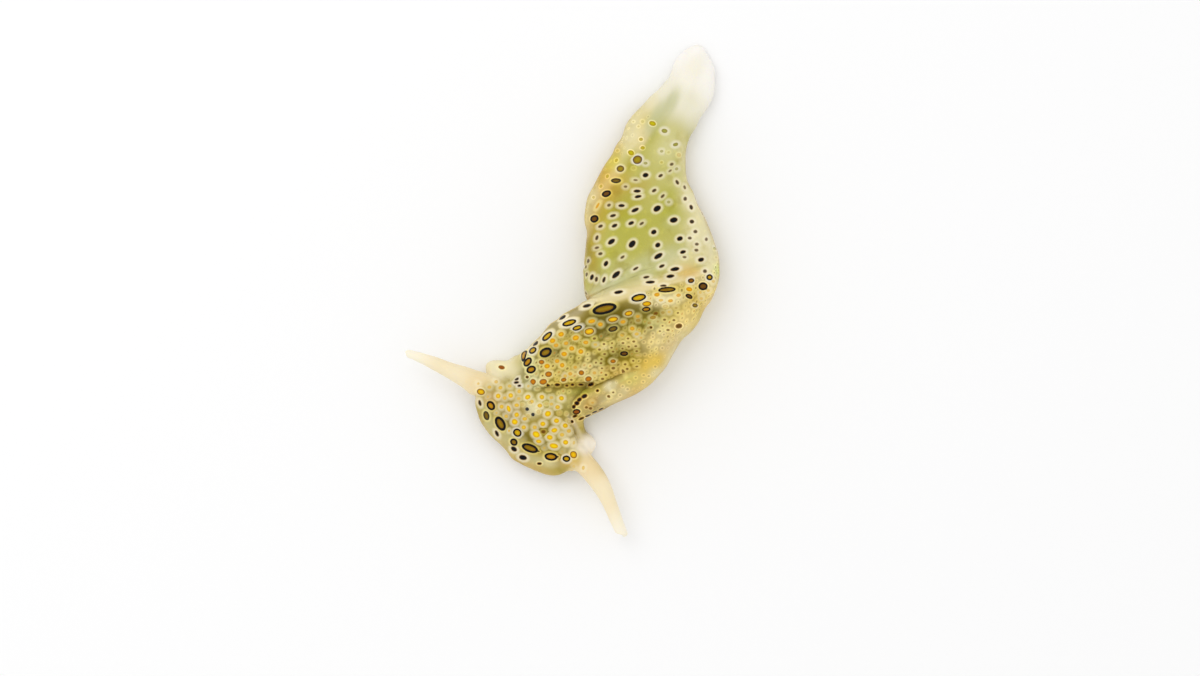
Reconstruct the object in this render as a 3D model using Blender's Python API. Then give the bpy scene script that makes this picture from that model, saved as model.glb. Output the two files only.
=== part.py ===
"""A sap-sucking sea slug with ring-shaped spots, life size, turning itself over on the sea bed.

The front half of the body is upright and the rear half lies sole up, so the body makes
half a turn about its own length between the two. Lengths are in millimetres and are
turned into metres when a mesh is made. +X and +Y lie on the floor, +Z is up, and the
origin is on the floor under the middle of the animal.
"""
import math

import bmesh
import bpy
import numpy as np
from mathutils import Matrix, Vector

MILLIMETRE = 0.001

# Gap between pieces that lie against each other, and thickness of the side flaps.
GAP = 0.3
FLAP = 0.9
LAYER = FLAP + GAP
# How far the underside is pressed flat against the floor.
PRESSED = 0.15
# Squareness of the body's cross-section: 2 is an ellipse.
SQUARENESS = 2.3
# Height of the widest level of a cross-section, as a share of its thickness.
WAIST = 0.45
# How far ahead a line is read to find its direction.
LOOK_AHEAD = 0.05

# Middle line of the animal on the floor, from the front of the head to the tip of the tail.
MIDLINE = [
    (-5.40, -16.35), (-3.05, -13.35), (-0.90, -10.55), (1.30, -8.55), (3.80, -6.65),
    (6.00, -4.65), (7.70, -2.25), (8.70, 0.45), (8.90, 3.35), (8.60, 6.25), (8.30, 9.05),
    (8.40, 11.85), (9.00, 14.55), (10.10, 17.25), (11.40, 19.85), (12.70, 22.35),
    (13.60, 24.45),
]

# Places along the middle line, measured from its start.
HEAD_FRONT = -0.1
HEAD_WIDEST = 3.8
# Bluntness of the head's front seen from the side: 2 is an ellipse.
HEAD_BLUNTNESS = 5
HEAD_END = 5.5
NECK_END = 7.5
TRUNK_START = 7.8
TURN_START = 16.4
TURN_END = 25.6
TAIL_START = 37.6
TAIL_ROUNDING = 45.6
TAIL_TIP = 47.5
# Thickness left at the tip, as a share of the tail's thickness.
TAIL_TIP_THICKNESS = 0.35

# Head and neck: place, reach to the upper left, reach to the lower right, underside, top.
HEAD_ROWS = [
    (-0.1, 6.1, 6.2, 1.05, 2.9),
    (1.6, 6.15, 6.25, 1.0, 3.4),
    (3.8, 6.1, 6.2, 1.0, 4.3),
    (4.7, 5.4, 5.3, 1.1, 4.5),
    (5.5, 4.6, 4.2, 1.2, 4.6),
    (6.3, 4.1, 3.1, 1.2, 4.6),
    (7.5, 4.0, 2.7, 1.2, 4.5),
]

# Trunk and tail with the flaps on: place, reach to the upper left, to the lower right, top.
TRUNK_ROWS = [
    (7.0, 5.0, 3.6, 5.5), (8.5, 5.35, 3.95, 5.8), (10.0, 5.4, 4.3, 6.1), (12.0, 5.75, 4.7, 6.3),
    (14.0, 5.65, 5.15, 6.5), (16.0, 5.35, 5.35, 6.8), (17.0, 5.25, 5.25, 7.0),
    (18.0, 5.9, 5.0, 7.1), (20.0, 6.5, 5.5, 7.2), (22.0, 6.75, 6.35, 7.1),
    (24.0, 6.85, 6.85, 6.7), (26.0, 6.7, 6.5, 6.1), (28.0, 6.3, 5.85, 5.6),
    (30.0, 6.2, 5.2, 5.1), (32.0, 5.3, 4.65, 4.7), (34.0, 4.2, 4.05, 4.2),
    (36.0, 3.45, 3.6, 3.8), (38.0, 3.1, 3.25, 3.3), (40.0, 2.35, 3.4, 2.9),
    (42.0, 1.7, 3.45, 2.5), (44.0, 1.5, 3.35, 2.1), (45.6, 1.4, 2.6, 1.8), (47.5, 1.3, 2.1, 1.4),
]

# Body directions in degrees round a cross-section, seen from the tail: 0 is the middle of
# the back, positive towards the animal's right. A flap is rooted at each margin of the sole,
# and the right flap laps over the left one at the seam.
MARGIN = 98.0
ROOT_GAP = 3.5
SEAM = -20.0
LEFT_FLAP_EDGE = 4.0
# Where the left flap dips under the right one, and where the core sinks under both and comes
# up again, in degrees from the seam and from the left flap's edge.
LEFT_FLAP_DIPS = (-12.0, -4.0)
CORE_SINKS = (-22.0, -8.0)
CORE_COMES_UP = (4.0, 14.0)
# Places along the middle line between which the second flap comes over the first.
SECOND_LAYER = (8.2, 9.6)

# Where three lines of the body lie, in degrees from straight up and positive towards the
# upper left. Place, right margin of the sole, seam of the flaps, left margin of the sole.
TURN_ROWS = [
    (7.0, 92, -26, -92), (12.0, 92, -28, -94), (15.0, 92, -29, -100), (16.5, 88, -34, -112),
    (18.2, 42, -47, -142), (20.1, 19, -53, -178), (21.8, 3, -62, -214), (22.8, -14, -74, -232),
    (23.6, -38, -88, -247), (24.4, -66, -106, -260), (25.5, -90, -128, -270),
    (27.0, -98, -150, -277), (29.6, -102, -176, -300), (31.6, -104, -192, -312),
    (33.7, -108, -206, -322), (35.5, -116, -222, -334), (37.6, -122, -232, -342),
    (47.5, -122, -232, -342),
]

# Front edge of each flap: body direction and place along the middle line.
RIGHT_FLAP_FRONT = [
    (-20, 11.3), (-10, 10.2), (-4, 9.5), (6, 8.6), (22, 7.9), (43, 7.5), (62, 7.4), (98, 7.6),
]
LEFT_FLAP_FRONT = [
    (-98, 7.5), (-60, 7.5), (-45, 7.8), (-32, 8.4), (-25, 9.8), (-20, 10.8), (4, 12.2),
]
# A flap's front edge is thinned on each face, over a share of its length, and its free edge is
# rounded over a few degrees.
FRONT_THINNING = 0.2
THINNED_SHARE = 0.02
FREE_EDGE_ROUNDING = 1.5

# Crease on the sole side of each margin: width in degrees, and depth at rest and in the turn.
CREASE_OFFSET = 16.0
CREASE_WIDTH = 9.0
CREASE_DEPTH = 0.15
CREASE_DEPTH_IN_TURN = 0.7
# Places between which the crease deepens, and then fades.
CREASE_DEEPENS = (15.0, 18.0)
CREASE_FADES = (25.0, 30.0)

# Numbers of faces.
FLAP_COLUMNS = 13
SOLE_COLUMNS = 14
BACK_COLUMNS = 18
HEAD_COLUMNS = 28
HEAD_LOOPS = 4
NECK_LOOPS = 4
TAIL_COLUMNS = 24
TAIL_LOOPS = 10
STRAIGHT_STEP = 0.85
TURN_STEP = 0.45
# Where the rounded ends are cut into loops: degrees of the head's quarter circle, and shares
# of the length of the tail's end.
HEAD_BENDS = (5, 14, 24, 34, 45, 56, 68, 79)
TAIL_END_SHARES = (0.35, 0.62, 0.82, 0.94, 0.995)

# Rolled feelers: middle line with heights, and radius along it.
RIGHT_FEELER = [
    (-7.0, -9.65, 2.7), (-8.76, -9.05, 2.85), (-10.2, -8.4, 3.1), (-11.68, -7.78, 3.4),
    (-13.86, -6.8, 3.8), (-15.62, -6.17, 4.0),
]
RIGHT_FEELER_RADII = [1.2, 1.12, 0.96, 0.73, 0.54, 0.32]
LEFT_FEELER = [
    (1.4, -16.55, 2.7), (2.29, -17.38, 2.7), (3.32, -18.62, 2.75), (4.15, -19.98, 2.8),
    (4.8, -21.45, 2.75), (5.4, -22.92, 2.6), (5.98, -24.4, 2.4),
]
LEFT_FEELER_RADII = [1.2, 1.1, 1.0, 0.86, 0.7, 0.66, 0.54]
# Solid length at the base, slit underneath in degrees, and inner radius as a share of the outer.
STUMP = 2.0
FEELER_SLIT = 26.0
FEELER_BORE_SHARE = 0.5
# How far the tip is cut aslant, and from which share of the length the slant sets in.
RIGHT_FEELER_SLANT = 0.12
LEFT_FEELER_SLANT = -0.3
SLANT_START = 0.6
STUMP_COLUMNS = 16
STUMP_LOOPS = 5
FEELER_COLUMNS = 13
FEELER_LOOPS = 13

# Front of the foot, drawn out into a lobe at each corner: place across the body and positive
# towards the animal's right, front edge, rear edge, thickness.
FOOT_FRONT_ROWS = [
    (-6.75, 5.2, 5.8, 0.7), (-6.5, 5.0, 6.15, 1.1), (-6.0, 4.95, 6.45, 1.25),
    (-5.2, 5.0, 6.6, 1.25), (-4.4, 5.0, 7.0, 1.1), (-3.4, 4.9, 7.4, 0.8), (-1.7, 4.8, 7.45, 0.8),
    (0.0, 4.7, 7.45, 0.8), (1.7, 4.8, 7.45, 0.8), (3.4, 5.0, 7.45, 0.8), (4.6, 5.3, 7.4, 1.15),
    (5.4, 5.35, 7.35, 1.3), (6.1, 5.35, 6.95, 1.35), (6.7, 5.4, 6.6, 1.15), (7.05, 5.6, 6.2, 0.7),
]
FOOT_FRONT_LOOPS = 30
# Rounding of its edges, as a share of its length along the body and of its thickness.
FOOT_FRONT_ROUNDING = 0.22
FOOT_FRONT_BEVEL = 0.3

# Eyes: place along the middle line and to the animal's right, bead and socket radii.
EYE_PLACES = {"eye_right": (4.8, 1.3), "eye_left": (4.7, 0.5)}
EYE_RADIUS = 0.2
SOCKET_RADIUS = 0.42
EYE_SUNK = 0.1

# Mouth on the underside of the head, framed by a low ring of lip.
MOUTH_PLACE = 1.5
LIP_HALF_LENGTH = 0.75
LIP_HALF_WIDTH = 1.05
LIP_THICKNESS = 0.3
LIP_SUNK = 0.05
LIP_COLUMNS = 20
LIP_FACES = 8
MOUTH_REACH = 0.1
# Half sizes of the slit: along the body, across it and upwards.
MOUTH_SLIT = (0.75, 0.12, 0.5)

FLESH_ROUGHNESS = 0.4
EYE_ROUGHNESS = 0.2

COLOURS = {
    "back": (0.62, 0.56, 0.27),
    "flap": (0.66, 0.58, 0.28),
    "sole": (0.58, 0.60, 0.24),
    "tail": (0.78, 0.74, 0.58),
    "feeler": (0.82, 0.70, 0.48),
    "foot": (0.76, 0.68, 0.46),
    "eye": (0.01, 0.01, 0.012),
}


def smooth_line(knots, values):
    """Return a function that reads a natural cubic curve through the values."""
    knots = np.asarray(knots, float)
    values = np.asarray(values, float)
    step = np.diff(knots)
    slope = np.diff(values) / step
    count = len(knots)
    system = np.eye(count)
    bend = np.zeros(count)
    for k in range(1, count - 1):
        system[k, k - 1:k + 2] = step[k - 1], 2 * (step[k - 1] + step[k]), step[k]
        bend[k] = 6 * (slope[k] - slope[k - 1])
    second = np.linalg.solve(system, bend)

    def read(x):
        k = int(np.clip(np.searchsorted(knots, x) - 1, 0, count - 2))
        t = x - knots[k]
        first = slope[k] - step[k] * (2 * second[k] + second[k + 1]) / 6
        third = (second[k + 1] - second[k]) / (6 * step[k])
        return float(values[k] + first * t + second[k] / 2 * t ** 2 + third * t ** 3)

    return read


def columns(rows):
    """Return one smooth line for each column after the first."""
    table = np.asarray(rows, float)
    return [smooth_line(table[:, 0], table[:, k]) for k in range(1, table.shape[1])]


def rise(x, start, end):
    """Go smoothly from 0 at start to 1 at end."""
    t = min(max((x - start) / (end - start), 0.0), 1.0)
    return t * t * (3 - 2 * t)


def spread(start, end, count):
    """Return count values from start to end, both included."""
    return [start + (end - start) * k / (count - 1) for k in range(count)]


midline_points = np.asarray(MIDLINE)
midline_knots = np.concatenate(
    [[0.0], np.cumsum(np.linalg.norm(np.diff(midline_points, axis=0), axis=1))]
)
midline_x = smooth_line(midline_knots, midline_points[:, 0])
midline_y = smooth_line(midline_knots, midline_points[:, 1])
head_left, head_right, head_low, head_top = columns(HEAD_ROWS)
trunk_left, trunk_right, trunk_top = columns(TRUNK_ROWS)
right_margin_at, seam_at, left_margin_at = columns(TURN_ROWS)


def across(place, side):
    """Return the floor point at a place along the middle line, moved to the upper left."""
    x, y = midline_x(place), midline_y(place)
    ahead = place + LOOK_AHEAD
    along = Vector((midline_x(ahead) - x, midline_y(ahead) - y)).normalized()
    return x - along.y * side, y + along.x * side


def section_point(place, left, right, low, top, turn, depth):
    """Return a point of a cross-section, turn degrees from straight up, depth inside it."""
    middle = low + WAIST * (top - low)
    sideways = math.sin(math.radians(turn))
    upwards = math.cos(math.radians(turn))
    power = 2 / SQUARENESS
    half_width = (left + right) / 2
    half_height = top - middle if upwards > 0 else middle - low
    side = half_width * math.copysign(abs(sideways) ** power, sideways)
    height = half_height * math.copysign(abs(upwards) ** power, upwards)
    inside = 1 - depth / math.hypot(side, height)
    x, y = across(place, (left - right) / 2 + side * inside)
    return Vector((x, y, max(0.0, middle + height * inside)))


def head_point(place, turn, depth=0.0):
    """Return a point of the head or neck, whose front is rounded off in plan and in height."""
    ahead = max(0.0, (HEAD_WIDEST - place) / (HEAD_WIDEST - HEAD_FRONT))
    plan = math.sqrt(max(0.0, 1 - ahead ** 2))
    blunt = math.sqrt(max(0.0, 1 - ahead ** HEAD_BLUNTNESS))
    low, top = head_low(place), head_top(place)
    middle = low + WAIST * (top - low)
    low = middle - (middle - low) * blunt
    top = middle + (top - middle) * blunt
    return section_point(place, head_left(place) * plan, head_right(place) * plan, low, top,
                         turn, depth)


def world_turn(place, body_turn):
    """Turn a direction of the body into degrees from straight up, through the half turn."""
    body_turn = (body_turn + MARGIN) % 360 - MARGIN
    lines = [left_margin_at(place), seam_at(place), right_margin_at(place)]
    return float(np.interp(body_turn, [-MARGIN, SEAM, MARGIN, 360 - MARGIN],
                           lines + [lines[0] + 360]))


def crease(place, body_turn):
    """Return how deep the surface sinks on the sole side of the margins."""
    body_turn = (body_turn + MARGIN) % 360 - MARGIN
    in_turn = rise(place, *CREASE_DEEPENS) - rise(place, *CREASE_FADES)
    deep = CREASE_DEPTH + (CREASE_DEPTH_IN_TURN - CREASE_DEPTH) * in_turn
    right = (body_turn - MARGIN - CREASE_OFFSET) / CREASE_WIDTH
    left = (body_turn - (360 - MARGIN - CREASE_OFFSET)) / CREASE_WIDTH
    return deep * math.exp(-right ** 2) + CREASE_DEPTH * math.exp(-left ** 2)


def trunk_point(place, body_turn, depth=0.0):
    """Return a point of the trunk or tail, in the body's own directions."""
    rounding = max(0.0, (place - TAIL_ROUNDING) / (TAIL_TIP - TAIL_ROUNDING))
    plan = math.sqrt(max(0.0, 1 - rounding ** 2))
    top = trunk_top(place) * (TAIL_TIP_THICKNESS + (1 - TAIL_TIP_THICKNESS) * plan)
    left, right = trunk_left(place), trunk_right(place)
    centre = (left - right) / 2
    half = (left + right) / 2 * plan
    return section_point(place, half + centre, half - centre, -PRESSED, top,
                         world_turn(place, body_turn), depth + crease(place, body_turn))


def right_flap_depth(body_turn):
    return 0.0


def left_flap_depth(body_turn):
    """Return how deep the left flap lies, which dips under the right one at the seam."""
    return LAYER * rise(body_turn - SEAM, *LEFT_FLAP_DIPS)


def core_depth(place, body_turn):
    """Return how deep the core lies under the flaps, with a second layer at the seam."""
    second = rise(body_turn - SEAM, *CORE_SINKS)
    second -= rise(body_turn - LEFT_FLAP_EDGE, *CORE_COMES_UP)
    return LAYER * (1 + second * rise(place, *SECOND_LAYER))


def mesh_object(name, points, faces, colour):
    """Make one object from points in millimetres, with its own finish."""
    mesh = bpy.data.meshes.new(name)
    mesh.from_pydata([tuple(p * MILLIMETRE for p in point) for point in points], [], faces)
    piece = bpy.data.objects.new(name, mesh)
    bpy.context.collection.objects.link(piece)
    finish = bpy.data.materials.new(name + "_flesh")
    finish.use_nodes = True
    shader = finish.node_tree.nodes["Principled BSDF"]
    shader.inputs["Base Color"].default_value = (*COLOURS[colour], 1.0)
    roughness = EYE_ROUGHNESS if colour == "eye" else FLESH_ROUGHNESS
    shader.inputs["Roughness"].default_value = roughness
    shader.inputs["Metallic"].default_value = 0.0
    mesh.materials.append(finish)
    work = bmesh.new()
    work.from_mesh(mesh)
    bmesh.ops.recalc_face_normals(work, faces=work.faces)
    work.to_mesh(mesh)
    work.free()
    mesh.shade_smooth()
    return piece


def quad(points, a, b, c, d):
    """Split a four-sided face along its shorter diagonal."""
    if (points[a] - points[c]).length <= (points[b] - points[d]).length:
        return [(a, b, c), (a, c, d)]
    return [(a, b, d), (b, c, d)]


def skin_between(points, first, second, size):
    """Join two closed loops of points that follow each other."""
    faces = []
    for k in range(size):
        after = (k + 1) % size
        faces += quad(points, first + k, first + after, second + after, second + k)
    return faces


def tube(name, loops, colour):
    """Make a solid from closed loops, each end closed by a fan to the loop's middle."""
    points = [point for loop in loops for point in loop]
    size = len(loops[0])
    faces = []
    for k in range(len(loops) - 1):
        faces += skin_between(points, k * size, (k + 1) * size, size)
    for start in (0, (len(loops) - 1) * size):
        centre = sum((points[start + k] for k in range(size)), Vector()) / size
        points.append(centre)
        faces += [(start + k, start + (k + 1) % size, len(points) - 1) for k in range(size)]
    return mesh_object(name, points, faces, colour)


def sheet(name, loops, colour):
    """Make a thick sheet from loops that run out along one face and back along the other."""
    points = [point for loop in loops for point in loop]
    size = len(loops[0])
    faces = []
    for k in range(len(loops) - 1):
        faces += skin_between(points, k * size, (k + 1) * size, size)
    for start in (0, (len(loops) - 1) * size):
        low, high = start, start + size - 1
        while high - low > 2:
            faces += quad(points, low, low + 1, high - 1, high)
            low, high = low + 1, high - 1
        if high - low == 2:
            faces.append((low, low + 1, high))
    return mesh_object(name, points, faces, colour)


def trunk_places(start, end, step):
    return spread(start, end, max(2, round((end - start) / step) + 1))


def core_length(name, start, end, step):
    """Make a length of the core: the sole at full size, the back sunk under the flaps."""
    back = spread(-MARGIN, MARGIN, BACK_COLUMNS)
    sole = spread(MARGIN + ROOT_GAP, 360 - MARGIN - ROOT_GAP, SOLE_COLUMNS)
    loops = []
    for place in trunk_places(start, end, step):
        loops.append([trunk_point(place, turn, core_depth(place, turn)) for turn in back]
                     + [trunk_point(place, turn) for turn in sole])
    return tube(name, loops, "sole")


def flap_length(name, root, edge, front, end, step, depth_at):
    """Make a length of a side flap, from its root at the margin to its free edge."""
    turns = spread(root, edge, FLAP_COLUMNS)
    loops = []
    for share in spread(0.0, 1.0, len(trunk_places(front(root), end, step))):
        thinned = FRONT_THINNING * (1 - rise(share, 0.0, THINNED_SHARE))
        outer, inner = [], []
        for turn in turns:
            place = front(turn) + (end - front(turn)) * share
            sunk = depth_at(turn)
            outer.append(trunk_point(place, turn, sunk + thinned))
            inner.append(trunk_point(place, turn, sunk + FLAP - thinned))
        bulge = edge + math.copysign(FREE_EDGE_ROUNDING, edge - root)
        place = front(edge) + (end - front(edge)) * share
        rounded = trunk_point(place, bulge, depth_at(edge) + FLAP / 2)
        loops.append(outer + [rounded] + inner[::-1])
    return sheet(name, loops, "flap")


def front_edge(rows):
    line = np.asarray(rows, float)
    return lambda turn: float(np.interp(turn, line[:, 0], line[:, 1]))


def straight_edge(place):
    return lambda turn: place


def flap_pieces():
    """Make both flaps, each in three lengths parted by thin cuts."""
    sides = [
        ("right", MARGIN, SEAM, front_edge(RIGHT_FLAP_FRONT), right_flap_depth),
        ("left", -MARGIN, LEFT_FLAP_EDGE, front_edge(LEFT_FLAP_FRONT), left_flap_depth),
    ]
    for side, root, edge, front, depth_at in sides:
        lengths = [
            ("front", front, TURN_START, STRAIGHT_STEP),
            ("middle", straight_edge(TURN_START + GAP), TURN_END, TURN_STEP),
            ("rear", straight_edge(TURN_END + GAP), TAIL_START - GAP, STRAIGHT_STEP),
        ]
        for length, start, end, step in lengths:
            flap_length("flap_%s_%s" % (side, length), root, edge, start, end, step, depth_at)


def core_pieces():
    core_length("trunk_front", TRUNK_START, TURN_START, STRAIGHT_STEP)
    core_length("trunk_middle", TURN_START + GAP, TURN_END, TURN_STEP)
    core_length("trunk_rear", TURN_END + GAP, TAIL_START - GAP, STRAIGHT_STEP)


def tail_piece():
    """Make the flat tail, whose flaps have run out."""
    turns = spread(0.0, 360.0, TAIL_COLUMNS + 1)[:-1]
    places = spread(TAIL_START, TAIL_ROUNDING, TAIL_LOOPS)
    round_end = [TAIL_ROUNDING + (TAIL_TIP - TAIL_ROUNDING) * share for share in TAIL_END_SHARES]
    loops = [[trunk_point(place, turn - SEAM) for turn in turns] for place in places + round_end]
    tube("tail", loops, "tail")


def feeler_frame(line, radii):
    """Return a reader of a feeler's middle point, radius and two cross directions."""
    points = np.asarray(line, float)
    knots = np.concatenate([[0.0], np.cumsum(np.linalg.norm(np.diff(points, axis=0), axis=1))])
    x, y, z = (smooth_line(knots, points[:, k]) for k in range(3))
    thick = smooth_line(knots, radii)

    def read(distance):
        here = Vector((x(distance), y(distance), z(distance)))
        ahead = distance + LOOK_AHEAD
        along = (Vector((x(ahead), y(ahead), z(ahead))) - here).normalized()
        side = along.cross(Vector((0, 0, 1))).normalized()
        return here, thick(distance), side, side.cross(along), along

    return read, knots[-1]


def feeler_loop(read, distance, turns, share, slant=0.0):
    """Return points round a feeler, with the end cut aslant if slant isn't 0."""
    here, radius, side, up, along = read(distance)
    loop = []
    for turn in turns:
        angle = math.radians(turn)
        out = side * math.sin(angle) + up * math.cos(angle)
        loop.append(here + out * radius * share + along * slant * math.sin(angle))
    return loop


def stump_loops(read):
    """Return the solid foot of a feeler, from inside the head to its flat end."""
    turns = spread(0.0, 360.0, STUMP_COLUMNS + 1)[:-1]
    return [feeler_loop(read, STUMP * share, turns, 1.0)
            for share in spread(0.0, 1.0, STUMP_LOOPS)]


def feeler_piece(name, read, length, slant):
    """Make a feeler as a sheet rolled into a tapering tube, with its slit underneath."""
    underneath = 180.0
    turns = spread(underneath + FEELER_SLIT / 2, underneath + 360 - FEELER_SLIT / 2,
                   FEELER_COLUMNS)
    loops = []
    for share in spread(0.0, 1.0, FEELER_LOOPS):
        distance = STUMP + GAP + (length - STUMP - GAP) * share
        cut = slant * rise(share, SLANT_START, 1.0)
        outer = feeler_loop(read, distance, turns, 1.0, cut)
        inner = feeler_loop(read, distance, turns, FEELER_BORE_SHARE, cut)
        loops.append(outer + inner[::-1])
    sheet(name, loops, "feeler")


def foot_front_piece():
    """Make the front edge of the foot, drawn out into a lobe at each corner."""
    front_at, rear_at, thickness_at = columns(FOOT_FRONT_ROWS)
    loops = []
    for side in spread(FOOT_FRONT_ROWS[0][0], FOOT_FRONT_ROWS[-1][0], FOOT_FRONT_LOOPS):
        front, rear, thickness = front_at(side), rear_at(side), thickness_at(side)
        inset = FOOT_FRONT_ROUNDING * (rear - front)
        low, high = FOOT_FRONT_BEVEL * thickness, (1 - FOOT_FRONT_BEVEL) * thickness
        outline = [(front + inset, 0.0), (rear - inset, 0.0), (rear, low), (rear, high),
                   (rear - inset, thickness), (front + inset, thickness), (front, high),
                   (front, low)]
        loops.append([Vector((*across(place, side), level)) for place, level in outline])
    tube("foot_front", loops, "foot")


def ball(name, centre, sizes, colour, heading=0.0):
    """Make an ellipsoid with its three half sizes."""
    work = bmesh.new()
    bmesh.ops.create_icosphere(work, subdivisions=2, radius=1.0)
    shape = (Matrix.Translation(Vector(centre)) @ Matrix.Rotation(heading, 4, "Z")
             @ Matrix.Diagonal((*sizes, 1.0)))
    bmesh.ops.transform(work, matrix=shape, verts=work.verts)
    points = [vert.co.copy() for vert in work.verts]
    faces = [tuple(vert.index for vert in face.verts) for face in work.faces]
    work.free()
    return mesh_object(name, points, faces, colour)


def combine(piece, others, operation):
    """Join other closed pieces to a piece, or cut them from it, and remove them."""
    tools = bpy.data.collections.new(piece.name + "_tools")
    bpy.context.scene.collection.children.link(tools)
    for other in others:
        bpy.context.collection.objects.unlink(other)
        tools.objects.link(other)
    step = piece.modifiers.new("combine", "BOOLEAN")
    step.operand_type = "COLLECTION"
    step.collection = tools
    step.operation = operation
    step.solver = "EXACT"
    shape = bpy.data.meshes.new_from_object(
        piece.evaluated_get(bpy.context.evaluated_depsgraph_get()))
    piece.modifiers.clear()
    piece.data = shape
    for other in list(tools.objects):
        bpy.data.objects.remove(other)
    bpy.data.collections.remove(tools)


def lip_ring(place, low):
    """Make the low oval ring of lip round the mouth."""
    x, y = across(place, 0.0)
    ahead_x, ahead_y = across(place + MOUTH_REACH, 0.0)
    along = Vector((ahead_x - x, ahead_y - y, 0)).normalized()
    side = Vector((-along.y, along.x, 0))
    loops = []
    for k in range(LIP_COLUMNS):
        angle = 2 * math.pi * k / LIP_COLUMNS
        out = along * math.cos(angle) * LIP_HALF_LENGTH + side * math.sin(angle) * LIP_HALF_WIDTH
        radial = out.normalized()
        loop = []
        for j in range(LIP_FACES):
            bend = 2 * math.pi * j / LIP_FACES
            loop.append(Vector((x, y, low)) + out + radial * math.cos(bend) * LIP_THICKNESS
                        + Vector((0, 0, 1)) * math.sin(bend) * LIP_THICKNESS)
        loops.append(loop)
    points = [point for loop in loops for point in loop]
    faces = []
    for k in range(LIP_COLUMNS):
        after = (k + 1) % LIP_COLUMNS
        faces += skin_between(points, k * LIP_FACES, after * LIP_FACES, LIP_FACES)
    return mesh_object("lip", points, faces, "foot")


def head_surface_height(place, side):
    """Return the height of the head's top above a point of the floor."""
    left, right = head_left(place), head_right(place)
    sideways = (side - (left - right) / 2) / ((left + right) / 2)
    low, top = head_low(place), head_top(place)
    middle = low + WAIST * (top - low)
    return middle + (top - middle) * (1 - abs(sideways) ** SQUARENESS) ** (1 / SQUARENESS)


def head_piece(feelers):
    """Make the head with its feeler stumps, lips, mouth slit and eye sockets."""
    turns = spread(0.0, 360.0, HEAD_COLUMNS + 1)[:-1]
    rounded = [HEAD_FRONT + (HEAD_WIDEST - HEAD_FRONT) * (1 - math.cos(math.radians(bend)))
               for bend in HEAD_BENDS]
    places = rounded + spread(HEAD_WIDEST, HEAD_END, HEAD_LOOPS)
    loops = [[head_point(place, turn) for turn in turns] for place in places]
    head = tube("head", loops, "back")
    added = [tube("stump_%d" % k, stump_loops(read), "back")
             for k, (read, length) in enumerate(feelers)]
    low = head_low(MOUTH_PLACE)
    added.append(lip_ring(MOUTH_PLACE, low + LIP_SUNK))
    combine(head, added, "UNION")
    x, y = across(MOUTH_PLACE, 0.0)
    ahead_x, ahead_y = across(MOUTH_PLACE + MOUTH_REACH, 0.0)
    heading = math.atan2(ahead_y - y, ahead_x - x)
    combine(head, [ball("mouth_slit", (x, y, low), MOUTH_SLIT, "foot", heading)], "DIFFERENCE")
    for name, (place, side) in EYE_PLACES.items():
        x, y = across(place, side)
        centre = (x, y, head_surface_height(place, side) - EYE_SUNK)
        combine(head, [ball("socket", centre, (SOCKET_RADIUS,) * 3, "foot")], "DIFFERENCE")
        ball(name, centre, (EYE_RADIUS,) * 3, "eye")


def neck_piece():
    turns = spread(0.0, 360.0, HEAD_COLUMNS + 1)[:-1]
    loops = [[head_point(place, turn) for turn in turns]
             for place in spread(HEAD_END + GAP, NECK_END, NECK_LOOPS)]
    tube("neck", loops, "back")


def main():
    for old in list(bpy.data.objects):
        bpy.data.objects.remove(old)
    right = feeler_frame(RIGHT_FEELER, RIGHT_FEELER_RADII)
    left = feeler_frame(LEFT_FEELER, LEFT_FEELER_RADII)
    head_piece([right, left])
    neck_piece()
    foot_front_piece()
    core_pieces()
    flap_pieces()
    tail_piece()
    feeler_piece("feeler_right", *right, RIGHT_FEELER_SLANT)
    feeler_piece("feeler_left", *left, LEFT_FEELER_SLANT)


main()
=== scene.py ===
"""A sap-sucking sea slug with ring-shaped spots, life size, turning itself over on the floor.

One skin with its folds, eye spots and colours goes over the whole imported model, apart from the
two eyes. Shapes are made in millimetres and turned into metres at the end.
"""
import math

import bpy
import numpy as np
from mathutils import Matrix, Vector
from mathutils.bvhtree import BVHTree
from mathutils.kdtree import KDTree


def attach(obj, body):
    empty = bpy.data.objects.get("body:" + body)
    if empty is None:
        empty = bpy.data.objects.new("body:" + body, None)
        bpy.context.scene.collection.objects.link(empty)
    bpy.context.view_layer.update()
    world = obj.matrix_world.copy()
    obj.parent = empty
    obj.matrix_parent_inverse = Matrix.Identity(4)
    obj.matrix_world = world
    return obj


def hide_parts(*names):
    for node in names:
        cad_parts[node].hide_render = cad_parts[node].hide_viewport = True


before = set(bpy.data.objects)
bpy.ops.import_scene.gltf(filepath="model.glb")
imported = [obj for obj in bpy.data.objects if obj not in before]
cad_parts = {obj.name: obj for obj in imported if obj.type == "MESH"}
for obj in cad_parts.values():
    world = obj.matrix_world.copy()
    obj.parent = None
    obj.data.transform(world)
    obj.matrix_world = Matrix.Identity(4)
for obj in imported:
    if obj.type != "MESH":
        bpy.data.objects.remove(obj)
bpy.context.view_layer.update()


# The trunk is a flattened tube of flesh that makes half a turn about its own length: back
# up in front, sole up behind. Two wide flaps grow from the edges of the sole, and the right
# one laps over the left one along a seam on the back.

# Its middle line on the floor, from the front of the head to the tip of the tail.
MIDDLE_LINE = [
    (-5.40, -16.35), (-3.05, -13.35), (-0.90, -10.55), (1.30, -8.55), (3.80, -6.65),
    (6.00, -4.65), (7.70, -2.25), (8.70, 0.45), (8.90, 3.35), (8.60, 6.25), (8.30, 9.05),
    (8.40, 11.85), (9.00, 14.55), (10.10, 17.25), (11.40, 19.85), (12.70, 22.35),
    (13.60, 24.45),
]
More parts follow.
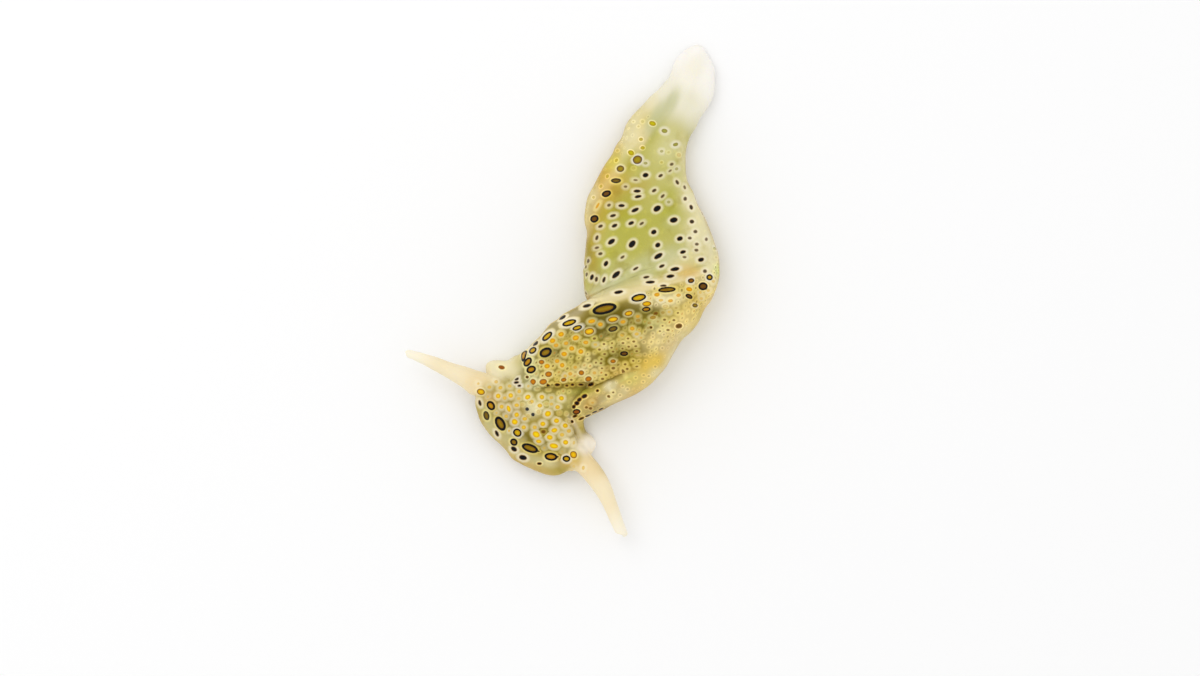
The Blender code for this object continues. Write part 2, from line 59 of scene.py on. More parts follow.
# Place along the middle line, reach to the upper left, reach to the lower right, top.
TRUNK_ROWS = [
    (7.0, 5.0, 3.6, 5.5), (8.5, 5.35, 3.95, 5.8), (10.0, 5.4, 4.3, 6.1), (12.0, 5.75, 4.7, 6.3),
    (14.0, 5.65, 5.15, 6.5), (16.0, 5.35, 5.35, 6.8), (17.0, 5.25, 5.25, 7.0),
    (18.0, 5.9, 5.0, 7.1), (20.0, 6.5, 5.5, 7.2), (22.0, 6.75, 6.35, 7.1),
    (24.0, 6.85, 6.85, 6.7), (26.0, 6.7, 6.5, 6.1), (28.0, 6.3, 5.85, 5.6),
    (30.0, 6.2, 5.2, 5.1), (32.0, 5.3, 4.65, 4.7), (34.0, 4.2, 4.05, 4.2),
    (36.0, 3.45, 3.6, 3.8), (38.0, 3.1, 3.25, 3.3), (40.0, 2.35, 3.4, 2.9),
    (42.0, 1.7, 3.45, 2.5), (44.0, 1.5, 3.35, 2.1), (45.6, 1.4, 2.6, 1.8), (47.5, 1.3, 2.1, 1.4),
]
# Place, then where three lines of the body lie, in degrees from straight up and positive
# towards the upper left: right edge of the sole, seam of the flaps, left edge of the sole.
TURN_ROWS = [
    (7.0, 92, -26, -92), (12.0, 92, -28, -94), (15.0, 92, -29, -100), (16.5, 88, -34, -112),
    (18.2, 42, -47, -142), (20.1, 19, -53, -178), (21.8, 3, -62, -214), (22.8, -14, -74, -232),
    (23.6, -38, -88, -247), (24.4, -66, -106, -260), (25.5, -90, -128, -270),
    (27.0, -98, -150, -277), (29.6, -102, -176, -300), (31.6, -104, -192, -312),
    (33.7, -108, -206, -322), (35.5, -116, -222, -334), (37.6, -122, -232, -342),
    (47.5, -122, -232, -342),
]
# A cross-section is an ellipse at 2 and squarer above that. Its widest level is a share of its
# height, and it reaches a little under the floor, where the skin is laid flat in the end.
SQUARENESS = 2.3
WAIST = 0.45
PRESSED = 0.15
# The sole's edges and the seam in the body's own directions, in degrees from its mid back.
SOLE_EDGE = 98.0
SEAM = -20.0
# The tail is rounded off between these two places, and its tip is lower by this share.
TAIL_ROUNDING = 45.6
TAIL_TIP = 47.5
TAIL_THINNING = 0.65
# Front edge of the flaps: body direction and place. Behind the blend, loops stand upright.
FLAP_FRONT = [
    (-98, 7.5), (-60, 7.5), (-45, 7.8), (-32, 8.4), (-25, 9.8), (-21, 10.9), (-20, 11.6),
    (-13, 11.1), (-4, 9.9), (0, 9.2), (5, 8.5), (10, 7.8), (14, 7.3), (20, 7.0), (31, 6.9),
    (45, 7.05), (62, 7.3), (98, 7.6), (262, 7.5),
]
FLAP_FRONT_BLEND = 14.0
# The lip round the flaps' front edge, from the pocket over the neck to the outer face:
# distance behind the edge, and depth under the outer face.
FLAP_LIP = [
    (2.4, 1.3), (1.6, 0.95), (0.9, 0.76), (0.4, 0.68), (0.12, 0.58), (0.0, 0.42), (0.05, 0.23),
    (0.22, 0.08), (0.5, 0.0),
]
# The flaps thin out and lie down on the neck towards that edge.
FRONT_DROOP = 0.3
FRONT_DROOP_LENGTH = 3.5
# The fold along the seam, from the left flap down under the right one and out over its edge.
SEAM_FOLD = [
    (-36, 0.0), (-32, 0.07), (-28.5, 0.26), (-25.5, 0.56), (-22.5, 0.78), (-19.5, 0.87),
    (-16.5, 0.89), (-15.0, 0.76), (-16.0, 0.6), (-18.6, 0.5), (-20.6, 0.42), (-21.5, 0.28),
    (-21.0, 0.14), (-19.5, 0.04), (-17.0, 0.0),
]
# Place, and how open the fold is there.
SEAM_OPENNESS = [
    (7, 1.0), (12.5, 1.0), (14, 0.5), (16, 0.15), (26, 0.1), (30, 0.6), (37, 0.4), (40, 0.0),
    (48, 0.0),
]
# The crease on the sole side of the sole's edges, in degrees from them, then place and depth.
CREASE_OFFSET = 16.0
CREASE_WIDTH = 11.0
CREASE_DEPTHS = [
    (7, 0.15), (15.0, 0.2), (17.0, 0.6), (20.0, 0.45), (23.0, 0.3), (27.0, 0.15), (36.0, 0.1),
    (40.0, 0.0), (48.0, 0.0),
]
LEFT_CREASE_DEPTH = 0.15
# Distance between loops, closer where the lip's loops leave the neck, and degrees between the
# points of a loop.
LOOP_STEP = 0.2
CLOSE_STEP = 0.03
TURN_STEP = 3.0


def curve_through(knots, values):
    """Return a reader of the natural cubic curve through the values."""
    knots, values = np.asarray(knots, float), np.asarray(values, float)
    step = np.diff(knots)
    slope = np.diff(values) / step
    system, bend = np.eye(len(knots)), np.zeros(len(knots))
    for k in range(1, len(knots) - 1):
        system[k, k - 1:k + 2] = step[k - 1], 2 * (step[k - 1] + step[k]), step[k]
        bend[k] = 6 * (slope[k] - slope[k - 1])
    second = np.linalg.solve(system, bend)

    def read(x):
        k = np.clip(np.searchsorted(knots, x) - 1, 0, len(knots) - 2)
        t = x - knots[k]
        first = slope[k] - step[k] * (2 * second[k] + second[k + 1]) / 6
        third = (second[k + 1] - second[k]) / (6 * step[k])
        return values[k] + first * t + second[k] / 2 * t ** 2 + third * t ** 3

    return read


def curves_of(rows):
    """Return one reader for each column of the rows after the first."""
    table = np.asarray(rows, float)
    return [curve_through(table[:, 0], table[:, k]) for k in range(1, table.shape[1])]


def straight_through(rows):
    """Return a reader that runs straight from row to row."""
    table = np.asarray(rows, float)
    return lambda x: np.interp(x, table[:, 0], table[:, 1])


def rise(x, start, end):
    """Go smoothly from 0 at start to 1 at end."""
    t = np.clip((x - start) / (end - start), 0.0, 1.0)
    return t * t * (3 - 2 * t)


line_points = np.asarray(MIDDLE_LINE)
line_knots = np.append(0, np.cumsum(np.linalg.norm(np.diff(line_points, axis=0), axis=1)))
middle_x = curve_through(line_knots, line_points[:, 0])
middle_y = curve_through(line_knots, line_points[:, 1])
trunk_left, trunk_right, trunk_top = curves_of(TRUNK_ROWS)
right_edge_at, seam_at, left_edge_at = curves_of(TURN_ROWS)


def along_at(place):
    """Return the middle line's direction on the floor, one part for x and one for y."""
    x, y = middle_x(place + 0.05) - middle_x(place), middle_y(place + 0.05) - middle_y(place)
    length = np.hypot(x, y)
    return x / length, y / length


def across(place, side):
    """Return the floor point at a place on the middle line, moved to the upper left."""
    x, y = along_at(place)
    return middle_x(place) - y * side, middle_y(place) + x * side


def section_point(place, left, right, low, top, turn, depth):
    """Return points of a cross-section, turn degrees from straight up, depth inside it."""
    middle = low + WAIST * (top - low)
    sideways, upwards = np.sin(np.radians(turn)), np.cos(np.radians(turn))
    power = 2 / SQUARENESS
    side = (left + right) / 2 * np.sign(sideways) * np.abs(sideways) ** power
    half_height = np.where(upwards > 0, top - middle, middle - low)
    height = half_height * np.sign(upwards) * np.abs(upwards) ** power
    inside = 1 - depth / np.hypot(side, height)
    x, y = across(place, (left - right) / 2 + side * inside)
    return np.stack([x, y, middle + height * inside], -1)


def floor_turn(place, body_turn):
    """Turn a direction round the body into degrees from straight up at that place."""
    turn = (body_turn + SOLE_EDGE) % 360 - SOLE_EDGE
    left, seam, right = left_edge_at(place), seam_at(place), right_edge_at(place)
    on_left = (turn + SOLE_EDGE) / (SEAM + SOLE_EDGE)
    on_right = (turn - SEAM) / (SOLE_EDGE - SEAM)
    on_sole = (turn - SOLE_EDGE) / (360 - 2 * SOLE_EDGE)
    return np.where(turn < SEAM, left + (seam - left) * on_left,
                    np.where(turn < SOLE_EDGE, seam + (right - seam) * on_right,
                             right + (left + 360 - right) * on_sole))


def crease(place, body_turn):
    """Return how deep the skin sinks on the sole side of the sole's edges."""
    turn = (body_turn + SOLE_EDGE) % 360 - SOLE_EDGE
    deep = straight_through(CREASE_DEPTHS)(place)
    right = (turn - SOLE_EDGE - CREASE_OFFSET) / CREASE_WIDTH
    left = (turn - (360 - SOLE_EDGE - CREASE_OFFSET)) / CREASE_WIDTH
    left_deep = np.minimum(deep, LEFT_CREASE_DEPTH)
    return deep * np.exp(-right ** 2) + left_deep * np.exp(-left ** 2)


def trunk_sizes(place):
    """Return the trunk's reach to both sides and its top, with the tail's tip rounded off."""
    past = np.clip((place - TAIL_ROUNDING) / (TAIL_TIP - TAIL_ROUNDING), 0, 1)
    plan = np.sqrt(1 - past ** 2)
    left, right = trunk_left(place), trunk_right(place)
    half, centre = (left + right) / 2 * plan, (left - right) / 2
    top = trunk_top(place) * (1 - TAIL_THINNING + TAIL_THINNING * plan)
    return half + centre, half - centre, top


def trunk_point(place, body_turn, depth):
    """Return points of the trunk or tail in the body's own directions."""
    left, right, top = trunk_sizes(place)
    return section_point(place, left, right, -PRESSED, top, floor_turn(place, body_turn),
                         depth + crease(place, body_turn))


def closed_shape(loops):
    """Return the points and faces of a solid made of loops, its ends closed by fans."""
    count, size = loops.shape[:2]
    points = list(loops.reshape(-1, 3)) + [loops[0].mean(0), loops[-1].mean(0)]
    faces = []
    for row in range(count - 1):
        for k in range(size):
            after = (k + 1) % size
            faces.append((row * size + k, row * size + after, (row + 1) * size + after,
                          (row + 1) * size + k))
    for k in range(size):
        after = (k + 1) % size
        faces.append((k, count * size, after))
        faces.append(((count - 1) * size + k, (count - 1) * size + after, count * size + 1))
    return np.array(points), faces


# A loop's points follow the fold between the seam's two sides and are evenly set elsewhere.
fold_turns, fold_depths = np.array(SEAM_FOLD).T
before_fold = np.arange(-SOLE_EDGE, -38, TURN_STEP)
after_fold = np.arange(-14, 360 - SOLE_EDGE, TURN_STEP)
flat_fold = np.linspace(fold_turns[0], fold_turns[-1], len(fold_turns))
folded_turns = np.concatenate([before_fold, fold_turns, after_fold])
flat_turns = np.concatenate([before_fold, flat_fold, after_fold])
folds = np.concatenate([0 * before_fold, fold_depths, 0 * after_fold])
front_edge = straight_through(FLAP_FRONT)(folded_turns)
over_neck = 1 - rise(np.abs(folded_turns), 88, 100)


def flap_loop(place, front_depth):
    """Return one loop of the trunk, folded over along the seam as far as it is open there."""
    openness = straight_through(SEAM_OPENNESS)(place)
    turns = flat_turns + (folded_turns - flat_turns) * openness
    behind = place - front_edge
    droop = FRONT_DROOP * (1 - rise(behind, 0, FRONT_DROOP_LENGTH)) * over_neck
    return trunk_point(place, turns, np.maximum(front_depth, folds * openness) + droop)


trunk_loops = []
for k, (setback, depth) in enumerate(FLAP_LIP):
    place = front_edge + setback * over_neck + CLOSE_STEP * k * (1 - over_neck)
    trunk_loops.append(flap_loop(place, depth))
lip_end = front_edge + FLAP_LIP[-1][0]
for share in np.linspace(0.04, 1, 26):
    trunk_loops.append(flap_loop(lip_end + (FLAP_FRONT_BLEND - lip_end) * share, 0.0))
straight_places = np.arange(FLAP_FRONT_BLEND + LOOP_STEP, TAIL_ROUNDING, LOOP_STEP)
tail_places = TAIL_ROUNDING + (TAIL_TIP - TAIL_ROUNDING) * np.sin(np.linspace(0, 1.56, 14))
for place in np.append(straight_places, tail_places):
    trunk_loops.append(flap_loop(np.full(len(folds), place), 0.0))
solids = [closed_shape(np.array(trunk_loops))]


# The head is a broad blunt wedge whose front is rounded like a spade. The neck behind it is
# narrower and runs back under the front edge of the flaps, where it melts into the trunk.
HEAD_FRONT = -0.1
HEAD_WIDEST = 3.8
# Place, reach to the upper left, reach to the lower right, underside, top.
HEAD_ROWS = [
    (-0.1, 6.1, 6.2, 1.05, 2.9), (1.6, 6.15, 6.25, 1.0, 3.4), (3.8, 6.1, 6.2, 1.0, 4.3),
    (4.7, 5.4, 5.3, 1.1, 4.5), (5.5, 4.6, 4.2, 1.2, 4.6), (6.3, 4.1, 3.1, 1.2, 4.6),
    (7.5, 4.0, 2.7, 1.1, 4.5), (9.5, 4.1, 2.8, 0.9, 4.65), (12.0, 4.3, 3.2, 0.8, 4.9),
]
NECK_INSIDE = 11.5
head_left, head_right, head_low, head_top = curves_of(HEAD_ROWS)


def head_point(place, turn):
    """Return points of the head or neck, whose front is rounded off in plan and height."""
    ahead = np.clip((HEAD_WIDEST - place) / (HEAD_WIDEST - HEAD_FRONT), 0, 1)
    plan, blunt = np.sqrt(1 - ahead ** 2), np.sqrt(1 - ahead ** 5)
    low, top = head_low(place), head_top(place)
    middle = low + WAIST * (top - low)
    return section_point(place, head_left(place) * plan, head_right(place) * plan,
                         middle - (middle - low) * blunt, middle + (top - middle) * blunt,
                         turn, 0.0)


head_turns = np.linspace(0, 360, 121)[:-1] + 0.5
rounded_places = HEAD_FRONT + (HEAD_WIDEST - HEAD_FRONT) * (
    1 - np.cos(np.linspace(0.03, math.pi / 2, 30)))
neck_places = np.arange(HEAD_WIDEST + LOOP_STEP, NECK_INSIDE, LOOP_STEP)
head_loops = [head_point(place, head_turns) for place in np.append(rounded_places, neck_places)]
solids.append(closed_shape(np.array(head_loops)))


# The front of the foot is a thin shelf of the sole under the neck, drawn out into a soft
# round lobe at each corner. The sides of the neck come down to it in one slope.

# Place across the body and positive towards its right, front edge, rear edge, thickness.
FOOT_ROWS = [
    (-6.55, 4.9, 5.6, 0.8), (-6.4, 4.8, 6.2, 1.3), (-6.0, 4.8, 6.65, 1.6), (-5.5, 4.8, 6.8, 1.6),
    (-4.9, 4.8, 6.65, 1.4), (-4.4, 4.9, 6.9, 1.2), (-3.8, 4.9, 7.7, 1.1), (-2.5, 4.8, 8.4, 1.0),
    (0.0, 4.7, 8.6, 1.0), (3.4, 4.9, 8.4, 1.2), (4.6, 5.1, 8.2, 1.5), (5.2, 5.1, 7.8, 1.7),
    (6.0, 5.0, 6.95, 1.8), (6.7, 5.2, 6.6, 1.6), (7.05, 5.6, 6.2, 0.9),
]
# The slope beside the neck: place, reach to the upper left, reach to the lower right, top.
NECK_SLOPE_ROWS = [
    (5.2, 5.9, 4.6, 1.8), (5.9, 6.5, 4.6, 2.5), (6.6, 6.1, 4.5, 3.0), (7.4, 5.4, 4.0, 3.4),
    (8.8, 5.0, 3.6, 3.4),
]
# Cross-section of the shelf: an ellipse at 1 and squarer below that, lengthwise and upwards.
SHELF_ALONG = 0.85
SHELF_UP = 0.8
foot_front, foot_rear, foot_thick = curves_of(FOOT_ROWS)
foot_turns = np.radians(np.linspace(0, 360, 33)[:-1])
shelf_along = np.sign(np.cos(foot_turns)) * np.abs(np.cos(foot_turns)) ** SHELF_ALONG
shelf_up = np.sign(np.sin(foot_turns)) * np.abs(np.sin(foot_turns)) ** SHELF_UP
foot_loops = []
for side in np.linspace(FOOT_ROWS[0][0], FOOT_ROWS[-1][0], 90):
    front, rear, thick = foot_front(side), foot_rear(side), foot_thick(side)
    x, y = across((front + rear) / 2 + (rear - front) / 2 * shelf_along, side)
    foot_loops.append(np.stack([x, y, thick / 2 + thick / 2 * shelf_up], -1))
solids.append(closed_shape(np.array(foot_loops)))
slope_left, slope_right, slope_top = curves_of(NECK_SLOPE_ROWS)
slope_loops = []
for place in np.arange(NECK_SLOPE_ROWS[0][0], NECK_SLOPE_ROWS[-1][0], LOOP_STEP):
    slope_loops.append(section_point(place, slope_left(place), slope_right(place), 0.0,
                                     slope_top(place), head_turns, 0.0))
solids.append(closed_shape(np.array(slope_loops)))


# A web of skin fills the corner between the head and each lobe. It is the same flesh, drawn
# thin between the two, and melts into both.

# Centre, half length, half width, half height, and direction on the floor in degrees.
CORNER_WEBS = [
    ((-6.25, -8.65, 1.3), 1.25, 0.8, 1.5, -14), ((2.0, -15.25, 1.2), 1.5, 0.75, 1.35, -61),
]
for centre, half_length, half_width, half_height, direction in CORNER_WEBS:
    ahead = np.array([math.cos(math.radians(direction)), math.sin(math.radians(direction)), 0.0])
    aside = np.array([-ahead[1], ahead[0], 0.0])
    web_loops = []
    for turn in np.linspace(0.15, math.pi - 0.15, 24):
        ring = (np.outer(np.cos(foot_turns), aside) * half_width
                + np.outer(np.sin(foot_turns), (0, 0, 1)) * half_height)
        web_loops.append(np.array(centre) - ahead * half_length * math.cos(turn)
                         + ring * math.sin(turn))
    solids.append(closed_shape(np.array(web_loops)))


# Each feeler is a leaf of skin rolled into a tapering tube, with a groove underneath where
# its edges meet. The right one ends in a soft point, the left one is cut off aslant.

# Middle line with heights, and radius.
RIGHT_FEELER = [
    (-5.9, -10.05, 2.2, 1.25), (-7.0, -9.65, 2.55, 1.22), (-8.76, -9.05, 2.85, 1.12),
    (-10.2, -8.4, 3.1, 0.96), (-11.68, -7.78, 3.4, 0.73), (-13.86, -6.8, 3.8, 0.54),
    (-15.62, -6.17, 4.0, 0.36),
]
LEFT_FEELER = [
    (0.4, -15.6, 2.2, 1.3), (1.4, -16.55, 2.55, 1.22), (2.29, -17.38, 2.7, 1.1),
    (3.32, -18.62, 2.75, 1.0), (4.15, -19.98, 2.8, 0.86), (4.8, -21.45, 2.75, 0.7),
    (5.4, -22.92, 2.6, 0.66), (5.98, -24.4, 2.4, 0.56),
]
# The groove takes this share of the radius, and is this wide in degrees.
GROOVE_DEPTH = 0.42
GROOVE_WIDTH = 24.0


def feeler_loops(rows, rounding, slant):
    """Return the loops of a feeler, its end rounded off over a length and cut aslant."""
    table = np.asarray(rows, float)
    knots = np.append(0, np.cumsum(np.linalg.norm(np.diff(table[:, :3], axis=0), axis=1)))
    readers = [curve_through(knots, table[:, k]) for k in range(4)]
    turns = np.linspace(0, 360, 73)[:-1]
    groove = 1 - GROOVE_DEPTH * np.exp(-((turns - 180) / GROOVE_WIDTH) ** 2)
    angle = np.radians(turns)
    straight = np.linspace(0, knots[-1] - rounding, 60)
    end = knots[-1] - rounding + rounding * np.sin(np.linspace(0.1, 1.55, 12))
    loops = []
    for distance in np.append(straight, end):
        here = np.array([reader(distance) for reader in readers[:3]])
        ahead = np.array([reader(distance + 0.05) for reader in readers[:3]])
        along = (ahead - here) / np.linalg.norm(ahead - here)
        side = np.cross(along, (0, 0, 1))
        side /= np.linalg.norm(side)
        up = np.cross(side, along)
        past = max(0.0, distance - (knots[-1] - rounding)) / rounding
        radius = readers[3](distance) * math.sqrt(max(0.0, 1 - past ** 2)) * groove
        out = np.outer(np.sin(angle), side) + np.outer(np.cos(angle), up)
        cut = slant * rise(distance / knots[-1], 0.7, 1.0) * np.sin(angle)
        loops.append(here + out * radius[:, None] + np.outer(cut, along))
    return np.array(loops)


solids.append(closed_shape(feeler_loops(RIGHT_FEELER, rounding=0.35, slant=0.1)))
solids.append(closed_shape(feeler_loops(LEFT_FEELER, rounding=0.22, slant=-0.3)))


# The mouth is a slit on the underside of the head, framed by a low oval ring of lip. The ring
# is a roll of the same flesh, half sunk in the head.
MOUTH_PLACE = 1.5
LIP_HALF_LENGTH = 0.75
LIP_HALF_WIDTH = 1.05
LIP_THICKNESS = 0.3
LIP_STEPS = 48
ROLL_STEPS = 16
lip_turns = np.radians(np.linspace(0, 360, LIP_STEPS + 1)[:-1])
roll_turns = np.radians(np.linspace(0, 360, ROLL_STEPS + 1)[:-1])
mouth_x, mouth_y = across(MOUTH_PLACE, 0.0)
mouth_along = np.array([*along_at(MOUTH_PLACE), 0.0])
mouth_side = np.array([-mouth_along[1], mouth_along[0], 0.0])
mouth = np.array([mouth_x, mouth_y, head_low(MOUTH_PLACE) + 0.05])
lip_points, lip_faces = [], []
for k, turn in enumerate(lip_turns):
    out = (mouth_along * math.cos(turn) * LIP_HALF_LENGTH
           + mouth_side * math.sin(turn) * LIP_HALF_WIDTH)
    radial = out / np.linalg.norm(out)
    row, next_row = k * ROLL_STEPS, (k + 1) % LIP_STEPS * ROLL_STEPS
    for j, bend in enumerate(roll_turns):
        lip_points.append(mouth + out + radial * math.cos(bend) * LIP_THICKNESS
                          + np.array([0, 0, math.sin(bend) * LIP_THICKNESS]))
        next_j = (j + 1) % ROLL_STEPS
        lip_faces.append((row + j, next_row + j, next_row + next_j, row + next_j))
solids.append((np.array(lip_points), lip_faces))


# One skin covers all of it. The solids are melted into one closed surface, and the skin is
# drawn smooth where the feelers, lobes and neck grow out.

# Size of its facets.
SKIN_GRAIN = 0.08
# Where it is drawn smooth: centre and reach.
SOFT_JOINS = [
    ((-7.4, -9.5, 2.7), 2.3), ((1.8, -16.8, 2.7), 2.3), ((-4.8, -8.3, 1.6), 3.4),
    ((-6.7, -8.6, 2.0), 2.8), ((3.3, -14.6, 1.2), 2.2), ((2.0, -15.3, 2.0), 2.4),
]
# The lobes are round underneath, so they touch the floor with less than their full width:
# their middles, the height below which they are drawn in, and by how much.
LOBE_MIDDLES = [(2.8, -15.3), (-6.5, -8.0)]
LOBE_ROUNDING = 0.75
LOBE_TUCK = 0.45
points, faces = [], []
for shape_points, shape_faces in solids:
    start = len(points)
    points += [tuple(point) for point in shape_points]
    faces += [tuple(start + corner for corner in face) for face in shape_faces]
skin_mesh = bpy.data.meshes.new("skin")
skin_mesh.from_pydata(points, [], faces)
skin = bpy.data.objects.new("skin", skin_mesh)
bpy.context.scene.collection.objects.link(skin)
melt = skin.modifiers.new("melt", "REMESH")
melt.mode = "VOXEL"
melt.voxel_size = SKIN_GRAIN
melt.use_smooth_shade = True
melted = bpy.data.meshes.new_from_object(
    skin.evaluated_get(bpy.context.evaluated_depsgraph_get()))
skin.modifiers.clear()
skin.data = melted
bpy.data.meshes.remove(skin_mesh)


def read_points(mesh):
    """Return the mesh's points as rows of numbers."""
    flat = np.empty(len(mesh.vertices) * 3, np.float32)
    mesh.vertices.foreach_get("co", flat)
    return flat.reshape(-1, 3).astype(float)


def write_points(mesh, places):
    """Put rows of numbers back as the mesh's points."""
    mesh.vertices.foreach_set("co", places.astype(np.float32).ravel())
    mesh.update()


ends = np.empty(len(melted.edges) * 2, np.int32)
melted.edges.foreach_get("vertices", ends)
ends = ends.reshape(-1, 2)
neighbours = np.bincount(ends.ravel(), minlength=len(melted.vertices)).astype(float)


def neighbour_mean(values):
    """Return, for each point, the mean of a value over the points joined to it."""
    total = np.empty_like(values)
    for k in range(values.shape[1]):
        total[:, k] = np.bincount(ends[:, 0], values[ends[:, 1], k], len(values))
        total[:, k] += np.bincount(ends[:, 1], values[ends[:, 0], k], len(values))
    return total / neighbours[:, None]


def relaxed(places, rounds, share):
    """Return the places drawn towards their neighbours, then back, so they don't shrink."""
    for _ in range(rounds):
        places = places + (neighbour_mean(places) - places) * share
        places = places - (neighbour_mean(places) - places) * share * 0.98
    return places


def filleted(places, rounds, weight):
    """Return the places drawn towards their neighbours by a weight from 0 to 1."""
    for _ in range(rounds):
        places = places + (neighbour_mean(places) - places) * weight[:, None]
    return places


def body_place(places):
    """Return how far along the middle line each point lies, and how far to its left."""
    knots = np.linspace(-1.0, TAIL_TIP, 80)
    line = np.stack([middle_x(knots), middle_y(knots)], -1)
    place = np.empty(len(places))
    batch = 20000
    for k in range(0, len(places), batch):
        gap = np.linalg.norm(places[k:k + batch, None, :2] - line[None], axis=2)
        place[k:k + batch] = knots[gap.argmin(1)]
    for _ in range(5):
        x, y = along_at(place)
        ahead = (places[:, 0] - middle_x(place)) * x + (places[:, 1] - middle_y(place)) * y
        place = np.clip(place + ahead * 0.8, -1.5, TAIL_TIP + 0.5)
    x, y = along_at(place)
    side = (places[:, 1] - middle_y(place)) * x - (places[:, 0] - middle_x(place)) * y
    return place, side


def near(places, centre, radius):
    """Return 1 at a centre, fading to 0 at a radius."""
    return 1 - rise(np.linalg.norm(places - np.asarray(centre), axis=1), 0.25 * radius, radius)


skin_points = relaxed(read_points(melted), rounds=12, share=0.6)
joins = np.maximum.reduce([near(skin_points, centre, reach) for centre, reach in SOFT_JOINS])
skin_points = filleted(skin_points, rounds=40, weight=0.9 * joins)
for lobe_middle in LOBE_MIDDLES:
    inwards = np.array(lobe_middle) - skin_points[:, :2]
    away = np.linalg.norm(inwards, axis=1)
    low = rise(LOBE_ROUNDING - skin_points[:, 2], 0.0, LOBE_ROUNDING) * rise(away, 0.3, 1.0)
    low *= 1 - rise(away, 1.6, 2.2)
    tuck = (LOBE_TUCK * low ** 2)[:, None]
    skin_points[:, :2] += inwards / np.maximum(away, 0.1)[:, None] * tuck


# The flesh is never quite even. It has low swellings, fine creases where it is wrung, and an
# outline that gives a little here and there. All of them are worked into the one skin.

# Size of a photo pixel in millimetres, and the pixel that lies over the model's middle.
PIXEL = 0.1
PHOTO_MIDDLE = (562.0, 290.5)
# Photo position, length, width and tilt in pixels and degrees, then height in millimetres.
FOLDS = [
    (606, 287, 36, 5, 26, 0.12), (598, 293, 24, 5, 32, -0.16), (622, 279, 38, 5, 27, 0.10),
    (630, 273, 32, 5, 25, -0.12), (640, 269, 36, 5, 20, 0.10), (612, 281, 28, 4, 30, -0.12),
    (655, 263, 32, 6, 18, 0.08), (592, 283, 16, 4, 60, 0.10), (598, 272, 18, 4, 65, -0.12),
    (604, 268, 18, 4, 60, 0.08), (650, 276, 34, 5, 14, -0.10), (668, 273, 30, 5, 12, 0.08),
    (588, 245, 7, 12, 0, 0.14), (590, 224, 7, 9, 0, -0.12), (588, 209, 7, 11, 0, 0.12),
    (594, 190, 7, 9, 0, -0.10), (604, 172, 8, 10, 0, 0.12), (617, 150, 8, 10, 0, -0.08),
    (627, 130, 9, 14, 0, 0.10), (690, 345, 12, 18, 45, 0.14), (664, 372, 16, 14, 45, -0.12),
    (640, 392, 20, 10, 25, 0.12), (655, 330, 22, 12, 40, -0.14), (634, 340, 30, 10, 40, 0.12),
    (600, 404, 24, 4, 25, -0.12), (612, 405, 26, 4, 24, 0.12), (606, 411, 26, 4, 24, -0.12),
    (620, 408, 24, 4, 24, 0.10), (596, 397, 18, 5, 30, 0.08), (512, 447, 10, 5, 35, -0.14),
    (560, 440, 30, 20, -30, 0.10), (500, 395, 16, 14, -40, 0.08), (575, 445, 8, 20, 35, -0.06),
    (670, 100, 8, 40, -25, -0.14), (692, 80, 10, 40, -20, 0.10), (655, 135, 8, 26, -25, -0.10),
    (520, 380, 12, 5, -20, -0.08), (529, 388, 30, 4, -8, -0.06), (560, 391, 40, 4, 2, -0.06),
    (529.5, 411, 10, 8, -40, -0.10), (620, 318, 44, 22, 12, -0.10), (668, 318, 30, 26, 40, 0.10),
    (640, 355, 34, 18, 30, 0.08),
]
# Where the outline gives: photo position, reach in pixels, and millimetres outwards.
OUTLINE_GIVES = [
    (474, 402, 12, 0.28), (480, 420, 9, 0.16), (499, 444, 10, -0.25), (512, 457, 8, 0.06),
    (551, 476, 12, 0.18), (567, 472, 6, -0.2), (470, 393, 6, 0.14), (507, 451, 6, -0.14),
    (526, 349, 6, -0.12), (585, 429, 8, 0.06), (616, 405, 11, -0.14), (629, 398, 8, -0.05),
    (641, 391, 9, -0.06), (659, 376, 9, -0.1), (683, 340, 8, -0.14), (705, 310, 10, -0.26),
    (718, 288, 8, 0.05), (719, 265, 9, -0.06), (714, 247, 7, -0.06), (702, 214, 12, 0.12),
    (692, 194, 9, 0.18), (684, 160, 9, 0.02), (699, 119, 9, -0.16), (691, 134, 7, -0.12),
    (709, 56, 9, -0.26), (698, 45, 9, 0.24), (676, 60, 9, 0.16), (669, 75, 7, -0.14),
    (650, 96, 9, 0.12), (621, 136, 8, -0.18), (611, 154, 7, -0.12), (588, 196, 9, 0.1),
    (586, 231, 6, -0.14), (556, 319, 6, -0.12), (583, 258, 8, -0.06), (584, 286, 5, -0.14),
    (583, 300, 5, 0.16), (509, 359, 6, -0.1), (577, 306, 7, -0.08), (548, 324, 8, 0.1),
    (516, 355, 10, 0.3), (486, 364, 8, 0.24), (497, 359, 8, -0.06), (440, 360, 12, 0.1),
    (405, 355, 7, 0.08), (619, 537, 7, 0.05), (626, 520, 10, -0.05),
]
# Skin that is more level than this takes an oval's size and tilt as they look from above.
LEVEL_ENOUGH = 0.5
# An oval is laid only on skin that faces about the same way as its middle does.
SAME_SIDE = 0.15


def photo_point(x, y):
    """Return the place in the model of a pixel of the photo."""
    return (x - PHOTO_MIDDLE[0]) * PIXEL, (PHOTO_MIDDLE[1] - y) * PIXEL


def read_normals(mesh):
    """Return which way the mesh faces at each of its points."""
    flat = np.empty(len(mesh.vertices) * 3, np.float32)
    mesh.vertex_normals.foreach_get("vector", flat)
    return flat.reshape(-1, 3).astype(float)


